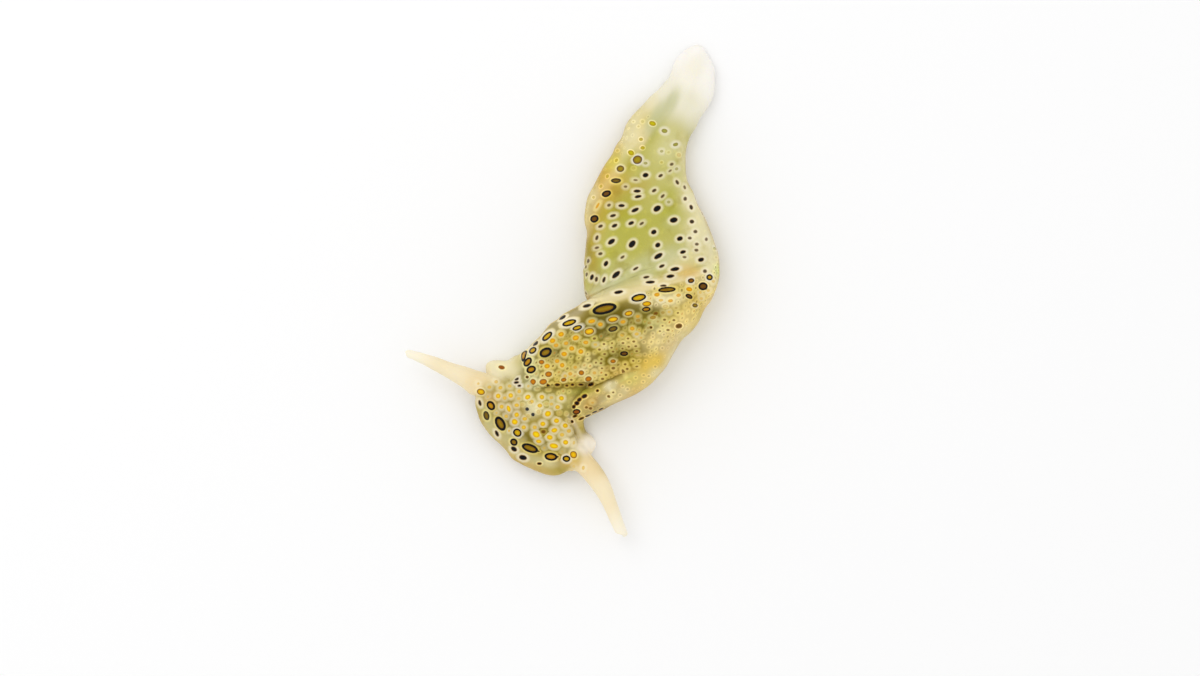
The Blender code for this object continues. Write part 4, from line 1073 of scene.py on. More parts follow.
# Washes, in the order they are laid on: photo position, length, width and tilt in pixels and
# degrees, colour, strength.
WASHES = [
    (634, 309, 46, 16, 6, SHADY_OLIVE, 0.75), (606, 321, 54, 28, 12, SHADY_OLIVE, 0.9),
    (608, 317, 46, 20, 12, SHADY_OLIVE, 0.8), (634, 318, 40, 18, 10, SHADY_OLIVE, 0.75),
    (652, 322, 26, 16, 10, OLIVE_BROWN, 0.5), (634, 342, 30, 18, 20, OLIVE_BROWN, 0.4),
    (606, 334, 26, 14, 10, SHADY_OLIVE, 0.5), (650, 311, 24, 14, 0, SHADY_OLIVE, 0.45),
    (641, 323, 24, 14, -30, SHADY_OLIVE, 0.5), (612, 357, 42, 24, 25, SHADY_OLIVE, 0.85),
    (632, 354, 26, 16, 20, SHADY_OLIVE, 0.6), (628, 366, 34, 16, 25, OLIVE_BROWN, 0.7),
    (584, 326, 44, 22, 20, SHADY_OLIVE, 0.4), (586, 340, 44, 18, 20, OLIVE_BROWN, 0.6),
    (553, 356, 26, 24, 0, SHADY_OLIVE, 0.55), (560, 335, 34, 14, 30, SHADY_OLIVE, 0.4),
    (572, 372, 60, 16, 5, OLIVE_BROWN, 0.2), (584, 374, 34, 16, 10, CREAM, 0.25),
    (662, 354, 40, 16, 50, AMBER, 0.65), (650, 364, 28, 16, 30, AMBER, 0.7),
    (634, 376, 44, 14, 28, LEFT_FLAP_GREEN, 0.8), (680, 325, 24, 16, 40, AMBER, 0.5),
    (668, 300, 40, 16, 10, CREAM, 0.7), (664, 336, 36, 20, 45, BUFF_AND_LIGHT, 0.5),
    (686, 320, 26, 44, -25, BUFF_AND_LIGHT, 0.8), (686, 271, 34, 16, 0, ORANGE_BUFF, 0.7),
    (698, 302, 22, 18, 0, AMBER, 0.3), (702, 287, 14, 14, 0, OLIVE_BROWN, 0.5),
    (710, 298, 16, 34, -15, BUFF_AND_LIGHT, 0.8), (598, 298, 64, 12, 20, CREAM, 0.9),
    (655, 281, 66, 12, 6, CREAM, 0.75), (640, 288, 60, 10, 8, CREAM, 0.4),
    (548, 328, 50, 11, 42, CREAM, 0.8), (525, 352, 22, 20, 50, CREAM, 0.6),
    (530, 362, 22, 26, 40, GREY_GREEN, 0.5), (533, 380, 26, 14, 0, CREAM, 0.4),
    (645, 384, 60, 18, 28, LEFT_FLAP_GREEN, 0.6), (668, 368, 44, 14, 50, MARGIN_CREAM, 0.7),
    (634, 399, 70, 6, 26, ORANGE_BUFF, 0.6), (684, 350, 50, 10, 55, MARGIN_CREAM, 0.8),
    (592, 402, 30, 16, 26, EDGE_SHADE, 0.6), (606, 408, 40, 4, 25, SHADY_OLIVE, 0.5),
    (614, 395, 36, 16, 26, MARGIN_CREAM, 0.7), (581, 426, 11, 18, 10, GOLD_OLIVE, 0.6),
    # Painted shade: (588, 385) and (572, 387) darken the gap under the flaps' front edge, (578,
    # 391) deep green the hollow beside it.
    (572, 421, 18, 5, -55, LOBE_WHITE_AND_LIGHT, 0.7), (588, 385, 30, 8, 25, SHADY_OLIVE, 0.6),
    (592, 462, 32, 22, -60, FEELER_BASE, 0.9), (574, 443, 20, 24, -30, LOBE_CREAM, 0.7),
    (578, 391, 24, 10, 0, DEEP_GREEN, 0.7), (604, 379, 24, 8, 25, OLIVE_BROWN, 0.5),
    (514, 420, 26, 30, 0, OLIVE_BROWN, 0.75), (548, 426, 30, 26, 0, OLIVE_BROWN, 0.55),
    (538, 441, 44, 10, -20, SHADY_OLIVE, 0.5), (530, 436, 26, 16, -40, SHADY_OLIVE, 0.35),
    (507, 416, 10, 30, 28, SHADY_OLIVE, 0.6), (545, 444, 60, 12, -15, OLIVE_BROWN, 0.4),
    (572, 387, 44, 5, 0, OLIVE_BROWN, 0.3), (568, 405, 16, 24, 20, NECK_GREEN, 0.5),
    (520, 372, 30, 24, 0, NECK_GREEN, 0.5), (502, 369, 44, 24, -10, LOBE_CREAM, 0.9),
    (587, 445, 22, 20, 0, LOBE_WHITE_AND_LIGHT, 1.0), (530, 409, 15, 20, 40, LOBE_CREAM, 0.75),
    (578, 432, 14, 6, -58, LOBE_CREAM, 0.6), (492, 380, 26, 10, -10, FEELER_BASE, 0.6),
    (545, 393, 50, 8, 0, NECK_GREEN, 0.4), (497, 406, 12, 44, 25, GREY_GREEN, 0.35),
    (508, 440, 20, 34, 50, GREY_GREEN, 0.45), (530, 458, 44, 10, -20, GREY_GREEN, 0.4),
    (485, 405, 12, 30, 10, GREY_GREEN, 0.45), (565, 460, 24, 14, -10, ORANGE_BUFF, 0.5),
    (655, 118, 44, 15, 62, GREY_GREEN, 0.9), (671, 102, 34, 14, 65, GREY_GREEN, 0.8),
    (658, 126, 34, 12, 62, DEEP_GREEN, 0.3), (630, 128, 50, 16, 60, MARGIN_CREAM, 0.75),
    (605, 170, 60, 14, 62, AMBER, 0.6), (592, 200, 40, 12, 80, MARGIN_CREAM, 0.6),
    (600, 210, 70, 24, 76, AMBER, 0.45), (616, 186, 50, 24, 62, AMBER, 0.45),
    (628, 158, 36, 18, 60, DEEP_GREEN, 0.4), (636, 186, 44, 12, 20, AMBER, 0.2),
    (668, 206, 52, 26, 80, DEEP_GREEN, 0.9), (622, 212, 34, 14, -10, DEEP_GREEN, 0.5),
    (622, 234, 60, 30, 60, DEEP_GREEN, 0.4), (640, 240, 60, 26, 60, DEEP_GREEN, 0.3),
    (592, 256, 60, 14, 90, GOLD_OLIVE, 0.75), (606, 260, 30, 20, 70, DEEP_GREEN, 0.35),
    (655, 262, 90, 26, 24, GREY_GREEN, 0.6), (608, 285, 50, 12, 28, GREY_GREEN, 0.8),
    (703, 236, 90, 26, -75, MARGIN_CREAM, 0.85), (694, 192, 60, 18, -72, MARGIN_CREAM, 0.8),
    (686, 150, 40, 12, 90, MARGIN_CREAM, 0.7), (711, 266, 34, 18, 90, MARGIN_CREAM, 0.6),
    (666, 146, 48, 30, 60, PALE_GREEN, 0.9), (684, 262, 40, 18, 20, CREAM, 0.5),
    (678, 215, 30, 20, 0, DEEP_GREEN, 0.4), (604, 289, 16, 1.6, 27, CREASE_SHADE, 0.6),
    (633, 276.5, 10, 1.4, 20, CREASE_SHADE, 0.5), (600, 279, 18, 1.4, 62, CREASE_SHADE, 0.5),
    (594, 283, 16, 1.4, 66, CREASE_SHADE, 0.45), (614, 279, 14, 1.3, 35, CREASE_SHADE, 0.4),
    (643, 270, 20, 1.3, 15, CREASE_SHADE, 0.35), (700, 266, 14, 1.2, 10, CREASE_SHADE, 0.3),
    (624, 270, 14, 1.3, 35, CREASE_SHADE, 0.35), (652, 363, 36, 20, 35, GOLD, 0.65),
    (669, 341, 26, 18, 45, AMBER, 0.3), (632, 361, 28, 16, 20, DEEP_GOLD, 0.45),
    (612, 342, 26, 14, 10, PALE_GREEN, 0.3), (592, 362, 26, 18, 10, PALE_GREEN, 0.2),
    (592, 376, 26, 12, 10, PALE_GREEN, 0.35), (572, 377, 22, 10, 0, CREAM, 0.25),
    (540, 402, 54, 16, 0, PALE_GREEN, 0.35), (530, 383, 20, 12, 0, GREY_GREEN, 0.35),
    (488, 424, 14, 26, 20, GREY_GREEN, 0.3), (492, 397, 22, 20, 0, EDGE_SHADE, 0.45),
    (510, 384, 24, 12, 0, PALE_GREEN, 0.35), (651, 100, 22, 12, 60, MARGIN_CREAM, 0.4),
    (711, 98, 50, 12, 80, TAIL_WHITE, 0.45), (600, 295, 36, 9, 25, MARGIN_CREAM, 0.35),
    (592, 216, 44, 12, 80, OLIVE_BROWN, 0.2), (570, 318, 24, 8, 22, MARGIN_CREAM, 0.35),
    (587, 444, 20, 18, 0, LOBE_WHITE_AND_LIGHT, 0.8), (508, 410, 32, 34, 0, EDGE_SHADE, 0.35),
    (612, 162, 30, 14, 62, LEFT_FLAP_GREEN, 0.4), (670, 203, 40, 22, 80, DEEP_GREEN, 0.5),
    (622, 208, 50, 20, 20, GOLD_OLIVE, 0.25), (692, 242, 36, 12, -75, MARGIN_CREAM, 0.5),
    (632, 140, 34, 10, 62, MARGIN_CREAM, 0.4), (474, 381, 20, 14, 20, FEELER_BASE, 0.5),
    (610, 322, 40, 20, 12, SHADY_OLIVE, 0.7), (652, 381, 30, 12, 35, LEFT_FLAP_GREEN, 0.5),
    (592, 462, 30, 18, -60, FEELER_BASE, 0.5), (554, 462, 30, 12, -5, AMBER, 0.25),
    (610, 385.5, 13, 10, 20, LOBE_CREAM, 0.95), (630, 142, 34, 12, 62, MARGIN_CREAM, 0.4),
    (672, 178, 22, 18, 0, PALE_GREEN, 0.4), (650, 220, 24, 24, 0, DEEP_GREEN, 0.25),
    (550, 461, 30, 12, -8, GREY_GREEN, 0.35), (490, 424, 12, 30, 20, GREY_GREEN, 0.35),
    (532, 381, 30, 14, 0, GREY_GREEN, 0.35), (538, 409, 16, 12, -30, LOBE_CREAM, 0.5),
    (568, 392, 30, 7, 0, NECK_GREEN, 0.4), (650, 301, 50, 14, 5, CREAM, 0.3),
    (710, 286, 16, 30, -10, CREAM, 0.35), (690, 242, 44, 18, -75, MARGIN_CREAM, 0.3),
    (612, 268, 40, 20, 28, GREY_GREEN, 0.2), (570, 319, 26, 10, 24, MARGIN_CREAM, 0.5),
    (550, 333, 24, 9, 42, MARGIN_CREAM, 0.3), (611, 360, 22, 20, 10, SHADY_OLIVE, 0.4),
    (632, 352, 24, 14, 10, SHADY_OLIVE, 0.3), (570, 345, 26, 20, 20, GOLD_OLIVE, 0.35),
    (590, 345, 26, 20, 20, GOLD_OLIVE, 0.3), (550, 426, 34, 20, 0, GOLD_OLIVE, 0.3),
    (508, 404, 18, 22, 0, OLIVE_BROWN, 0.3), (612, 164, 26, 12, 62, DEEP_GOLD, 0.3),
    (614, 210, 30, 26, 20, GOLD_OLIVE, 0.25), (630, 200, 30, 16, 20, GOLD_OLIVE, 0.25),
    (592, 242, 14, 40, 0, GOLD_OLIVE, 0.3), (610, 400, 26, 8, 26, BUFF_AND_LIGHT, 0.5),
    (650, 382, 30, 10, 35, BUFF_AND_LIGHT, 0.4), (652, 340, 18, 14, 40, BUFF_AND_LIGHT, 0.35),
    (650, 360, 16, 14, 40, BUFF_AND_LIGHT, 0.3), (710, 290, 12, 34, -10, BUFF_AND_LIGHT, 0.5),
    (570, 424, 16, 8, -50, MARGIN_CREAM, 0.4), (718, 270, 8, 16, 0, LIME_EDGE, 0.5),
    (655, 372, 14, 10, 35, MARGIN_CREAM, 0.5), (590, 401, 14, 8, 25, ORANGE_BUFF, 0.4),
    (556, 349, 14, 8, -20, SHADY_OLIVE, 0.3), (569, 358.5, 12, 7, 20, SHADY_OLIVE, 0.35),
    (562, 371, 14, 6, 10, OLIVE_BROWN, 0.4), (600, 330, 10, 8, 60, SHADY_OLIVE, 0.35),
    (583, 345, 12, 6, 20, OLIVE_BROWN, 0.4), (575, 331, 14, 5, 25, OLIVE_BROWN, 0.35),
    (594, 352, 12, 8, 0, OLIVE_BROWN, 0.2), (607, 358, 10, 7, 0, SHADY_OLIVE, 0.35),
    (640, 325, 14, 7, 0, SHADY_OLIVE, 0.35), (585, 364, 16, 10, 0, CREAM, 0.45),
    (625, 343, 20, 8, 10, CREAM, 0.35), (603, 345, 14, 8, 0, CREAM, 0.3),
    (576, 373, 16, 7, 0, CREAM, 0.35), (596, 366, 14, 10, 0, CREAM, 0.3),
    (572, 315, 32, 7, 28, LOBE_WHITE_AND_LIGHT, 0.55), (588, 262, 12, 56, 0, OLIVE_BROWN, 0.25),
    (705, 277, 26, 20, 0, MARGIN_CREAM, 0.35), (668, 299, 34, 12, 10, MARGIN_CREAM, 0.4),
    (650, 297, 30, 10, 8, MARGIN_CREAM, 0.35), (610, 162, 20, 12, 62, GOLD, 0.35),
    (570, 382, 56, 9, 0, BUFF_AND_LIGHT, 0.3), (592, 380, 16, 10, 10, BUFF_AND_LIGHT, 0.3),
    (571, 441, 18, 14, -40, FEELER_BASE, 0.45), (573, 460, 16, 12, -30, ORANGE_BUFF, 0.3),
    (530, 421, 46, 22, -10, OLIVE_BROWN, 0.25), (636, 188, 34, 12, 20, GOLD_OLIVE, 0.3),
    (660, 120, 14, 30, -25, GREY_GREEN, 0.3), (694, 66, 30, 24, 60, TAIL_CREAM, 0.6),
    (711, 90, 12, 34, 0, TAIL_WHITE, 0.4), (689, 100, 18, 24, -20, GREY_GREEN, 0.13),
    (650, 120, 16, 16, 60, SOLE_GREEN, 0.22), (670, 146, 20, 36, 0, TAIL_CREAM, 0.12),
    (610, 160, 20, 18, 62, LIME_EDGE, 0.25), (610, 160, 20, 18, 62, BUFF_AND_LIGHT, 0.12),
    (632, 160, 20, 18, 0, DEEP_GREEN, 0.12), (610, 180, 22, 20, 0, GOLD, 0.15),
    (630, 200, 22, 20, 0, DEEP_GREEN, 0.22), (612, 220, 26, 20, 0, DEEP_GREEN, 0.2),
    (690, 200, 14, 20, 0, TAIL_CREAM, 0.2), (670, 222, 20, 18, 0, GREY_GREEN, 0.25),
    (670, 258, 22, 18, 0, TAIL_CREAM, 0.14), (692, 240, 16, 18, 0, TAIL_CREAM, 0.12),
    (710, 240, 12, 18, 0, TAIL_CREAM, 0.15), (632, 320, 26, 14, 10, DEEP_GOLD, 0.35),
    (610, 320, 24, 16, 10, SHADY_OLIVE, 0.4), (611, 358, 24, 16, 10, DEEP_GOLD, 0.4),
    (630, 360, 22, 16, 20, DEEP_GOLD, 0.35), (650, 359, 20, 16, 20, GOLD, 0.25),
    (572, 379, 30, 12, 0, DEEP_GOLD, 0.35), (590, 381, 18, 12, 0, DEEP_GOLD, 0.2),
    (550, 420, 24, 18, 0, GOLD_OLIVE, 0.35), (570, 320, 20, 12, 20, BUFF_AND_LIGHT, 0.2),
    (590, 341, 22, 14, 20, DEEP_GREEN, 0.3), (571, 360, 20, 14, 10, SOLE_GREEN, 0.35),
    (530, 362, 14, 18, 40, GREY_GREEN, 0.3), (532, 381, 20, 14, 0, GREY_GREEN, 0.35),
    (630, 380, 22, 14, 25, LIME_EDGE, 0.18), (490, 400, 16, 16, 0, EDGE_SHADE, 0.5),
    (510, 421, 22, 18, 0, CREASE_SHADE, 0.3), (570, 420, 14, 12, 0, BUFF_AND_LIGHT, 0.15),
    (550, 462, 16, 12, 0, LOBE_CREAM, 0.18), (572, 459, 16, 12, 0, BUFF_AND_LIGHT, 0.2),
    (589, 441, 12, 14, 0, LOBE_WHITE_AND_LIGHT, 0.35), (592, 402, 16, 10, 20, AMBER, 0.25),
    (711, 281, 12, 16, 0, MARGIN_CREAM, 0.25), (510, 371, 24, 16, -10, LOBE_CREAM, 0.15),
    (551, 380, 16, 12, 0, DEEP_GOLD, 0.15), (609.5, 385, 15, 11, 20, LOBE_CREAM, 0.6),
    (603, 360, 7, 5, 0, SHADY_OLIVE, 0.5), (617, 355, 8, 4, 20, SHADY_OLIVE, 0.45),
    (616, 364, 9, 4, 10, SHADY_OLIVE, 0.4), (628, 341, 8, 4, 10, OLIVE_BROWN, 0.45),
    (637, 337, 8, 4, 20, CREAM, 0.35), (565, 357, 7, 4, 20, OLIVE_BROWN, 0.45),
    (575, 357, 6, 4, 0, OLIVE_BROWN, 0.4), (653, 312, 22, 12, 10, SHADY_OLIVE, 0.4),
    (622, 354, 28, 12, 0, SHADY_OLIVE, 0.5), (610, 320, 32, 20, 10, SHADY_OLIVE, 0.4),
    (568, 381, 34, 12, 0, DEEP_GOLD, 0.45), (606, 377, 18, 8, 20, DEEP_GOLD, 0.4),
    (618, 350, 44, 28, 15, DEEP_GOLD, 0.25), (550, 420, 32, 26, 0, OLIVE_BROWN, 0.3),
    (505, 408, 34, 36, 20, OLIVE_BROWN, 0.2), (630, 160, 26, 24, 0, DEEP_GREEN, 0.22),
    (618, 210, 50, 40, 0, DEEP_GREEN, 0.18), (570, 361, 26, 18, 0, GOLD_OLIVE, 0.35),
    (691, 120, 16, 30, 0, TAIL_CREAM, 0.18), (690, 282, 26, 12, 0, CREAM, 0.25),
    (590, 300, 20, 12, 25, MARGIN_CREAM, 0.25), (530, 370, 24, 36, 10, GREY_GREEN, 0.3),
    (550, 401, 24, 16, 0, PALE_GREEN, 0.25), (660, 180, 46, 28, 0, PALE_GREEN, 0.22),
    (651, 323, 22, 12, 0, LIME_EDGE, 0.15), (650, 341, 18, 16, 0, BUFF_AND_LIGHT, 0.2),
    (572, 319, 28, 14, 20, BUFF_AND_LIGHT, 0.3), (570, 420, 22, 18, 0, BUFF_AND_LIGHT, 0.22),
    (548, 461, 26, 12, -10, LOBE_CREAM, 0.15), (557, 352, 8, 11, 0, SHADY_OLIVE, 0.7),
    (567, 343, 9, 6, 30, SHADY_OLIVE, 0.7), (581, 330, 8, 7, 0, SHADY_OLIVE, 0.7),
    (560, 357, 8, 6, 0, SHADY_OLIVE, 0.6), (603, 335.5, 13, 9, 30, SHADY_OLIVE, 0.7),
    (612, 355, 18, 8, 5, SHADY_OLIVE, 0.7), (574, 342.5, 8, 5, 20, SHADY_OLIVE, 0.5),
    (570, 354, 8, 5, 10, SHADY_OLIVE, 0.6), (576, 361, 8, 5, 0, OLIVE_BROWN, 0.6),
    (586, 337, 7, 5, 20, SHADY_OLIVE, 0.5), (593, 333, 8, 5, 20, SHADY_OLIVE, 0.5),
    (606, 347, 12, 5, 10, CREAM, 0.45), (629, 341, 20, 8, 5, BUFF_AND_LIGHT, 0.3),
    (620, 345, 8, 5, 0, SHADY_OLIVE, 0.4), (589, 356, 14, 10, 0, CREAM, 0.3),
    (583, 369, 12, 7, 0, CREAM, 0.4), (506, 402, 9, 6, 20, OLIVE_BROWN, 0.6),
    (588, 248, 9, 28, 0, OLIVE_BROWN, 0.3), (628, 322, 10, 7, 0, SHADY_OLIVE, 0.6),
    (617, 325, 10, 6, 0, SHADY_OLIVE, 0.6), (606, 328, 9, 6, 0, SHADY_OLIVE, 0.5),
    (596, 316, 10, 5, 15, SHADY_OLIVE, 0.6), (583, 318, 12, 5, 20, OLIVE_BROWN, 0.2),
    (534, 388, 10, 6, 0, GREY_GREEN, 0.4),
]
# How fast a wash fades outwards, and how sudden its edge is.
WASH_FALLOFF = 1.2
WASH_POWER = 1.5
# What the wet skin gives back of the room's light, taken off its paint.
SHEEN = 0.013
# Where the feelers grow out, on the floor plan, and the eyes' place in the photo.
RIGHT_ROOT = (-6.2, -9.9)
LEFT_ROOT = (0.9, -16.0)
EYES = (531, 410)


def paint(colour):
    """Turn a colour from 0 to 255, as a screen shows it, into the shader's own scale."""
    share = np.array(colour) / 255
    bright = np.where(share > 0.04045, ((share + 0.055) / 1.055) ** 2.4, share / 12.92)
    return np.maximum(bright - SHEEN, 0.001)


def washed(ground, colour, strength):
    """Lay a wash of colour over the ground, with a strength for each point."""
    strength = np.asarray(strength, float)[:, None]
    return ground + (paint(colour) - ground) * strength


ground = np.tile(paint(STRAW), (len(skin_points), 1))
from_sole = np.minimum(np.abs(body_turn - SOLE_EDGE), np.abs(body_turn + SOLE_EDGE))
from_sole = np.minimum(from_sole, np.abs(body_turn - 360 + SOLE_EDGE))
in_sole = rise(body_turn, SOLE_EDGE + 2, SOLE_EDGE + 14) * (
    1 - rise(body_turn, 360 - SOLE_EDGE - 14, 360 - SOLE_EDGE - 2))
ground = washed(ground, GOLD_OLIVE, 0.6 * (1 - rise(np.abs(body_turn - 4), 30, 60)))
ground = washed(ground, LEFT_FLAP_GREEN, 0.9 * rise(-body_turn, 24, 40) * (1 - in_sole))
ground = washed(ground, SOLE_GREEN, in_sole)
ground = washed(ground, CREAM, 0.8 * (1 - rise(from_sole, 3, 15)))
in_head = 1 - rise(place, 7.2, 8.2)
ground = washed(ground, HEAD_TAN, in_head)
ground = washed(ground, HEAD_RIM, in_head * (1 - rise(place, 0.5, 2.0)))
lobes = in_head * rise(np.abs(side), 4.6, 5.9) * rise(place, 4.6, 5.2)
ground = washed(ground, LOBE_CREAM, lobes * (side > 0))
ground = washed(ground, LOBE_WHITE_AND_LIGHT, lobes * (side < 0))
right_reach = np.linalg.norm(skin_points[:, :2] - np.array(RIGHT_ROOT), axis=1)
left_reach = np.linalg.norm(skin_points[:, :2] - np.array(LEFT_ROOT), axis=1)
in_right = rise(side, 5.3, 6.6) * (1 - rise(place, 5.4, 6.2)) * rise(right_reach, 0.6, 2.2)
in_left = rise(-side, 5.2, 6.4) * (1 - rise(place, 3.6, 4.6)) * rise(left_reach, 0.4, 2.2)
for feeler, reach in ((in_right, right_reach), (in_left, left_reach)):
    ground = washed(ground, FEELER_BASE, feeler)
    ground = washed(ground, FEELER_MIDDLE, feeler * rise(reach, 1.5, 5.0))
    ground = washed(ground, FEELER_TIP, feeler * rise(reach, 6.5, 9.5))
ground = washed(ground, TAIL_CREAM, rise(place, 37.5, 42.0))
ground = washed(ground, TAIL_WHITE, rise(place, 42.0, 46.0))
for x, y, long, wide, tilt, colour, strength in WASHES:
    centre, normal, directions, sizes = patch_under(x, y, long, wide, tilt)
    close, u, v = oval_places(centre, normal, directions, sizes, 3.0)
    amount = np.zeros(len(skin_points))
    amount[close] = strength * np.exp(-WASH_FALLOFF * (u ** 2 + v ** 2) ** WASH_POWER)
    ground = washed(ground, colour, amount)
# Painted shade: the furrows between the cushions are painted darker olive, apart from the plain
# parts.
furrow_shade = rise(spot_form[:, 0] - spot_form[:, 1] - spot_form[:, 2], -0.04, 0.16) * (1 - in_sole)
furrow_shade *= (1 - np.maximum.reduce([in_right, in_left, lobes])) * rise(from_sole, 6, 20)
furrow_shade *= 1 - 0.7 * rise(skin_points[:, 0], 6.0, 9.0)
furrow_shade *= 1 - in_head * np.maximum(1 - rise(place, 1.6, 3.0), rise(np.abs(side), 4.0, 5.2))
furrow_shade *= 1 - 0.8 * rise(-body_turn, 18, 26) * (1 - in_head)
from_eyes = np.linalg.norm(skin_points[:, :2] - photo_point(*EYES), axis=1)
furrow_shade *= rise(from_eyes, 0.8, 1.8)
ground = washed(ground, FURROW_SHADE, (0.42 + 0.22 * (1 - in_head)) * furrow_shade)
# Painted shade: the steep sides of the body, where the flaps turn under, are painted browner.
steep_shade = (1 - rise(np.abs(skin_normals[:, 2]), 0.05, 0.4)) * rise(place, 8, 10) * (
    1 - rise(place, 36, 40))
ground = washed(ground, EDGE_SHADE, 0.45 * steep_shade)


def keep_on_skin(name, kind, values):
    """Store a value for each point of the skin, for its material to read."""
    layer = melted.attributes.new(name, kind, "POINT")
    key = {"FLOAT_COLOR": "color", "FLOAT_VECTOR": "vector", "FLOAT": "value"}[kind]
    layer.data.foreach_set(key, values.astype(np.float32).ravel())


# The tail's end, the feelers and the lobes aren't mottled.
plain_share = np.maximum.reduce([rise(place, 36.0, 41.0), in_right, in_left, lobes])
MILLIMETRE = 0.001
write_points(melted, skin_points)
melted.transform(((MILLIMETRE, 0, 0, 0), (0, MILLIMETRE, 0, 0), (0, 0, MILLIMETRE, 0),
                  (0, 0, 0, 1)))
keep_on_skin("spot_form", "FLOAT_VECTOR", spot_form)
keep_on_skin("spot_look", "FLOAT_VECTOR", spot_look)
keep_on_skin("ground_colour", "FLOAT_COLOR", np.hstack([ground, np.ones((len(ground), 1))]))
keep_on_skin("mottling", "FLOAT", 0.5 * (1 - plain_share))
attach(skin, "root")
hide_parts(*[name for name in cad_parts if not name.startswith("eye")])


# The skin is moist, soft and a little see-through. Its colour is the ground, with its painted shade
# and painted light, mottled, with the spots over it, and its grain is too fine to model.

# Colours of the spots' middles, from 0 black to 1 pale, as the kinds of spot name them.
MIDDLE_COLOURS = [
    (0.00, (12, 12, 12)), (0.08, (40, 26, 14)), (0.20, (156, 160, 28)), (0.24, (206, 208, 130)),
    (0.30, (128, 106, 6)), (0.36, (166, 150, 4)), (0.42, (150, 122, 2)), (0.48, (196, 152, 4)),
    (0.52, (178, 144, 26)), (0.56, (216, 184, 4)), (0.60, (196, 188, 4)), (0.66, (246, 212, 2)),
    (0.76, (238, 186, 6)), (0.80, (212, 142, 20)), (0.86, (112, 84, 12)), (0.92, (166, 98, 36)),
    (1.00, (226, 212, 158)),
]
RIM_BLACK = (12, 8, 10)
RIM_BROWN = (150, 104, 20)
RING_CREAM = (228, 212, 128)
RING_WHITE = (228, 221, 198)
# What the ground is multiplied by in a ring, a middle towards its rim, and flesh in a mottle.
RING_GAIN = (1.4, 1.4, 1.5)
MIDDLE_SHADE = (230, 206, 150)
MOTTLE_DARK = (214, 204, 140)
MOTTLE_PALE = (1.3, 1.28, 1.2)


def group(name, inputs, outputs):
    """Make an empty node group with named sockets, and return it with its two end nodes."""
    tree = bpy.data.node_groups.new(name, "ShaderNodeTree")
    for label, kind, value in inputs:
        socket = tree.interface.new_socket(name=label, in_out="INPUT", socket_type=kind)
        socket.default_value = value
    for label, kind in outputs:
        tree.interface.new_socket(name=label, in_out="OUTPUT", socket_type=kind)
    return tree, tree.nodes.new("NodeGroupInput"), tree.nodes.new("NodeGroupOutput")


def soft_step(tree, value, start, end):
    """Go smoothly from 0 to 1 between two values, each a number or a socket."""
    step = tree.nodes.new("ShaderNodeMapRange")
    step.interpolation_type = "SMOOTHSTEP"
    for label, source in (("Value", value), ("From Min", start), ("From Max", end)):
        if isinstance(source, (int, float)):
            step.inputs[label].default_value = source
        else:
            tree.links.new(source, step.inputs[label])
    return step.outputs["Result"]


def sum_of(tree, first, second, operation="ADD"):
    """Add two values, each a number or a socket, or join them by another operation."""
    node = tree.nodes.new("ShaderNodeMath")
    node.operation = operation
    for socket, source in zip(node.inputs, (first, second)):
        if isinstance(source, (int, float)):
            socket.default_value = source
        else:
            tree.links.new(source, socket)
    return node.outputs[0]


def mixed(tree, share, first, second, blend="MIX"):
    """Mix two colours, each a socket, a painted colour from 0 to 255, or plain factors."""
    node = tree.nodes.new("ShaderNodeMix")
    node.data_type = "RGBA"
    node.blend_type = blend
    for socket, source in ((node.inputs[0], share), (node.inputs[6], first),
                           (node.inputs[7], second)):
        if isinstance(source, (int, float)):
            socket.default_value = source
        elif isinstance(source, tuple) and max(source) > 2:
            socket.default_value = (*paint(source), 1)
        elif isinstance(source, tuple):
            socket.default_value = (*source, 1)
        else:
            tree.links.new(source, socket)
    return node.outputs[2]


def noise(tree, place, size, detail):
    """Make noise whose grains are about this size in millimetres."""
    node = tree.nodes.new("ShaderNodeTexNoise")
    tree.links.new(place, node.inputs["Vector"])
    node.inputs["Scale"].default_value = 1 / (size * MILLIMETRE)
    node.inputs["Detail"].default_value = detail
    return node.outputs["Fac"]


# Eye spots: middle, dark rim and pale ring, from the distance to the middle's edge.
spots, given, result = group(
    "eye_spots",
    [("Ground", "NodeSocketColor", (0.5, 0.5, 0.3, 1)), ("Form", "NodeSocketVector", (9, 0, 0)),
     ("Look", "NodeSocketVector", (0, 0, 0)), ("Wobble", "NodeSocketFloat", 0.0)],
    [("Colour", "NodeSocketColor")])
form = spots.nodes.new("ShaderNodeSeparateXYZ")
look = spots.nodes.new("ShaderNodeSeparateXYZ")
spots.links.new(given.outputs["Form"], form.inputs[0])
spots.links.new(given.outputs["Look"], look.inputs[0])
edge = sum_of(spots, form.outputs["X"], given.outputs["Wobble"])
rim, ring = form.outputs["Y"], form.outputs["Z"]
rim_end = sum_of(spots, rim, ring)
middles = spots.nodes.new("ShaderNodeValToRGB")
middles.color_ramp.elements.remove(middles.color_ramp.elements[0])
for k, (where, colour) in enumerate(MIDDLE_COLOURS):
    stop = middles.color_ramp.elements[0] if k == 0 else middles.color_ramp.elements.new(where)
    stop.position = where
    stop.color = (*paint(colour), 1)
spots.links.new(look.outputs["X"], middles.inputs["Fac"])
lighter = mixed(spots, 1.0, given.outputs["Ground"], RING_GAIN, "MULTIPLY")
pale = mixed(spots, soft_step(spots, look.outputs["Y"], 0.5, 0.75), RING_CREAM, RING_WHITE)
ring_colour = mixed(spots, look.outputs["Y"], lighter, pale)
rim_colour = mixed(spots, soft_step(spots, rim, 0.03, 0.09), RIM_BROWN, RIM_BLACK)
outside = soft_step(spots, edge, sum_of(spots, rim, 0.06), sum_of(spots, rim_end, 0.12))
fade = look.outputs["Z"]
in_ring = sum_of(spots, sum_of(spots, 1.0, outside, "SUBTRACT"), fade, "MULTIPLY")
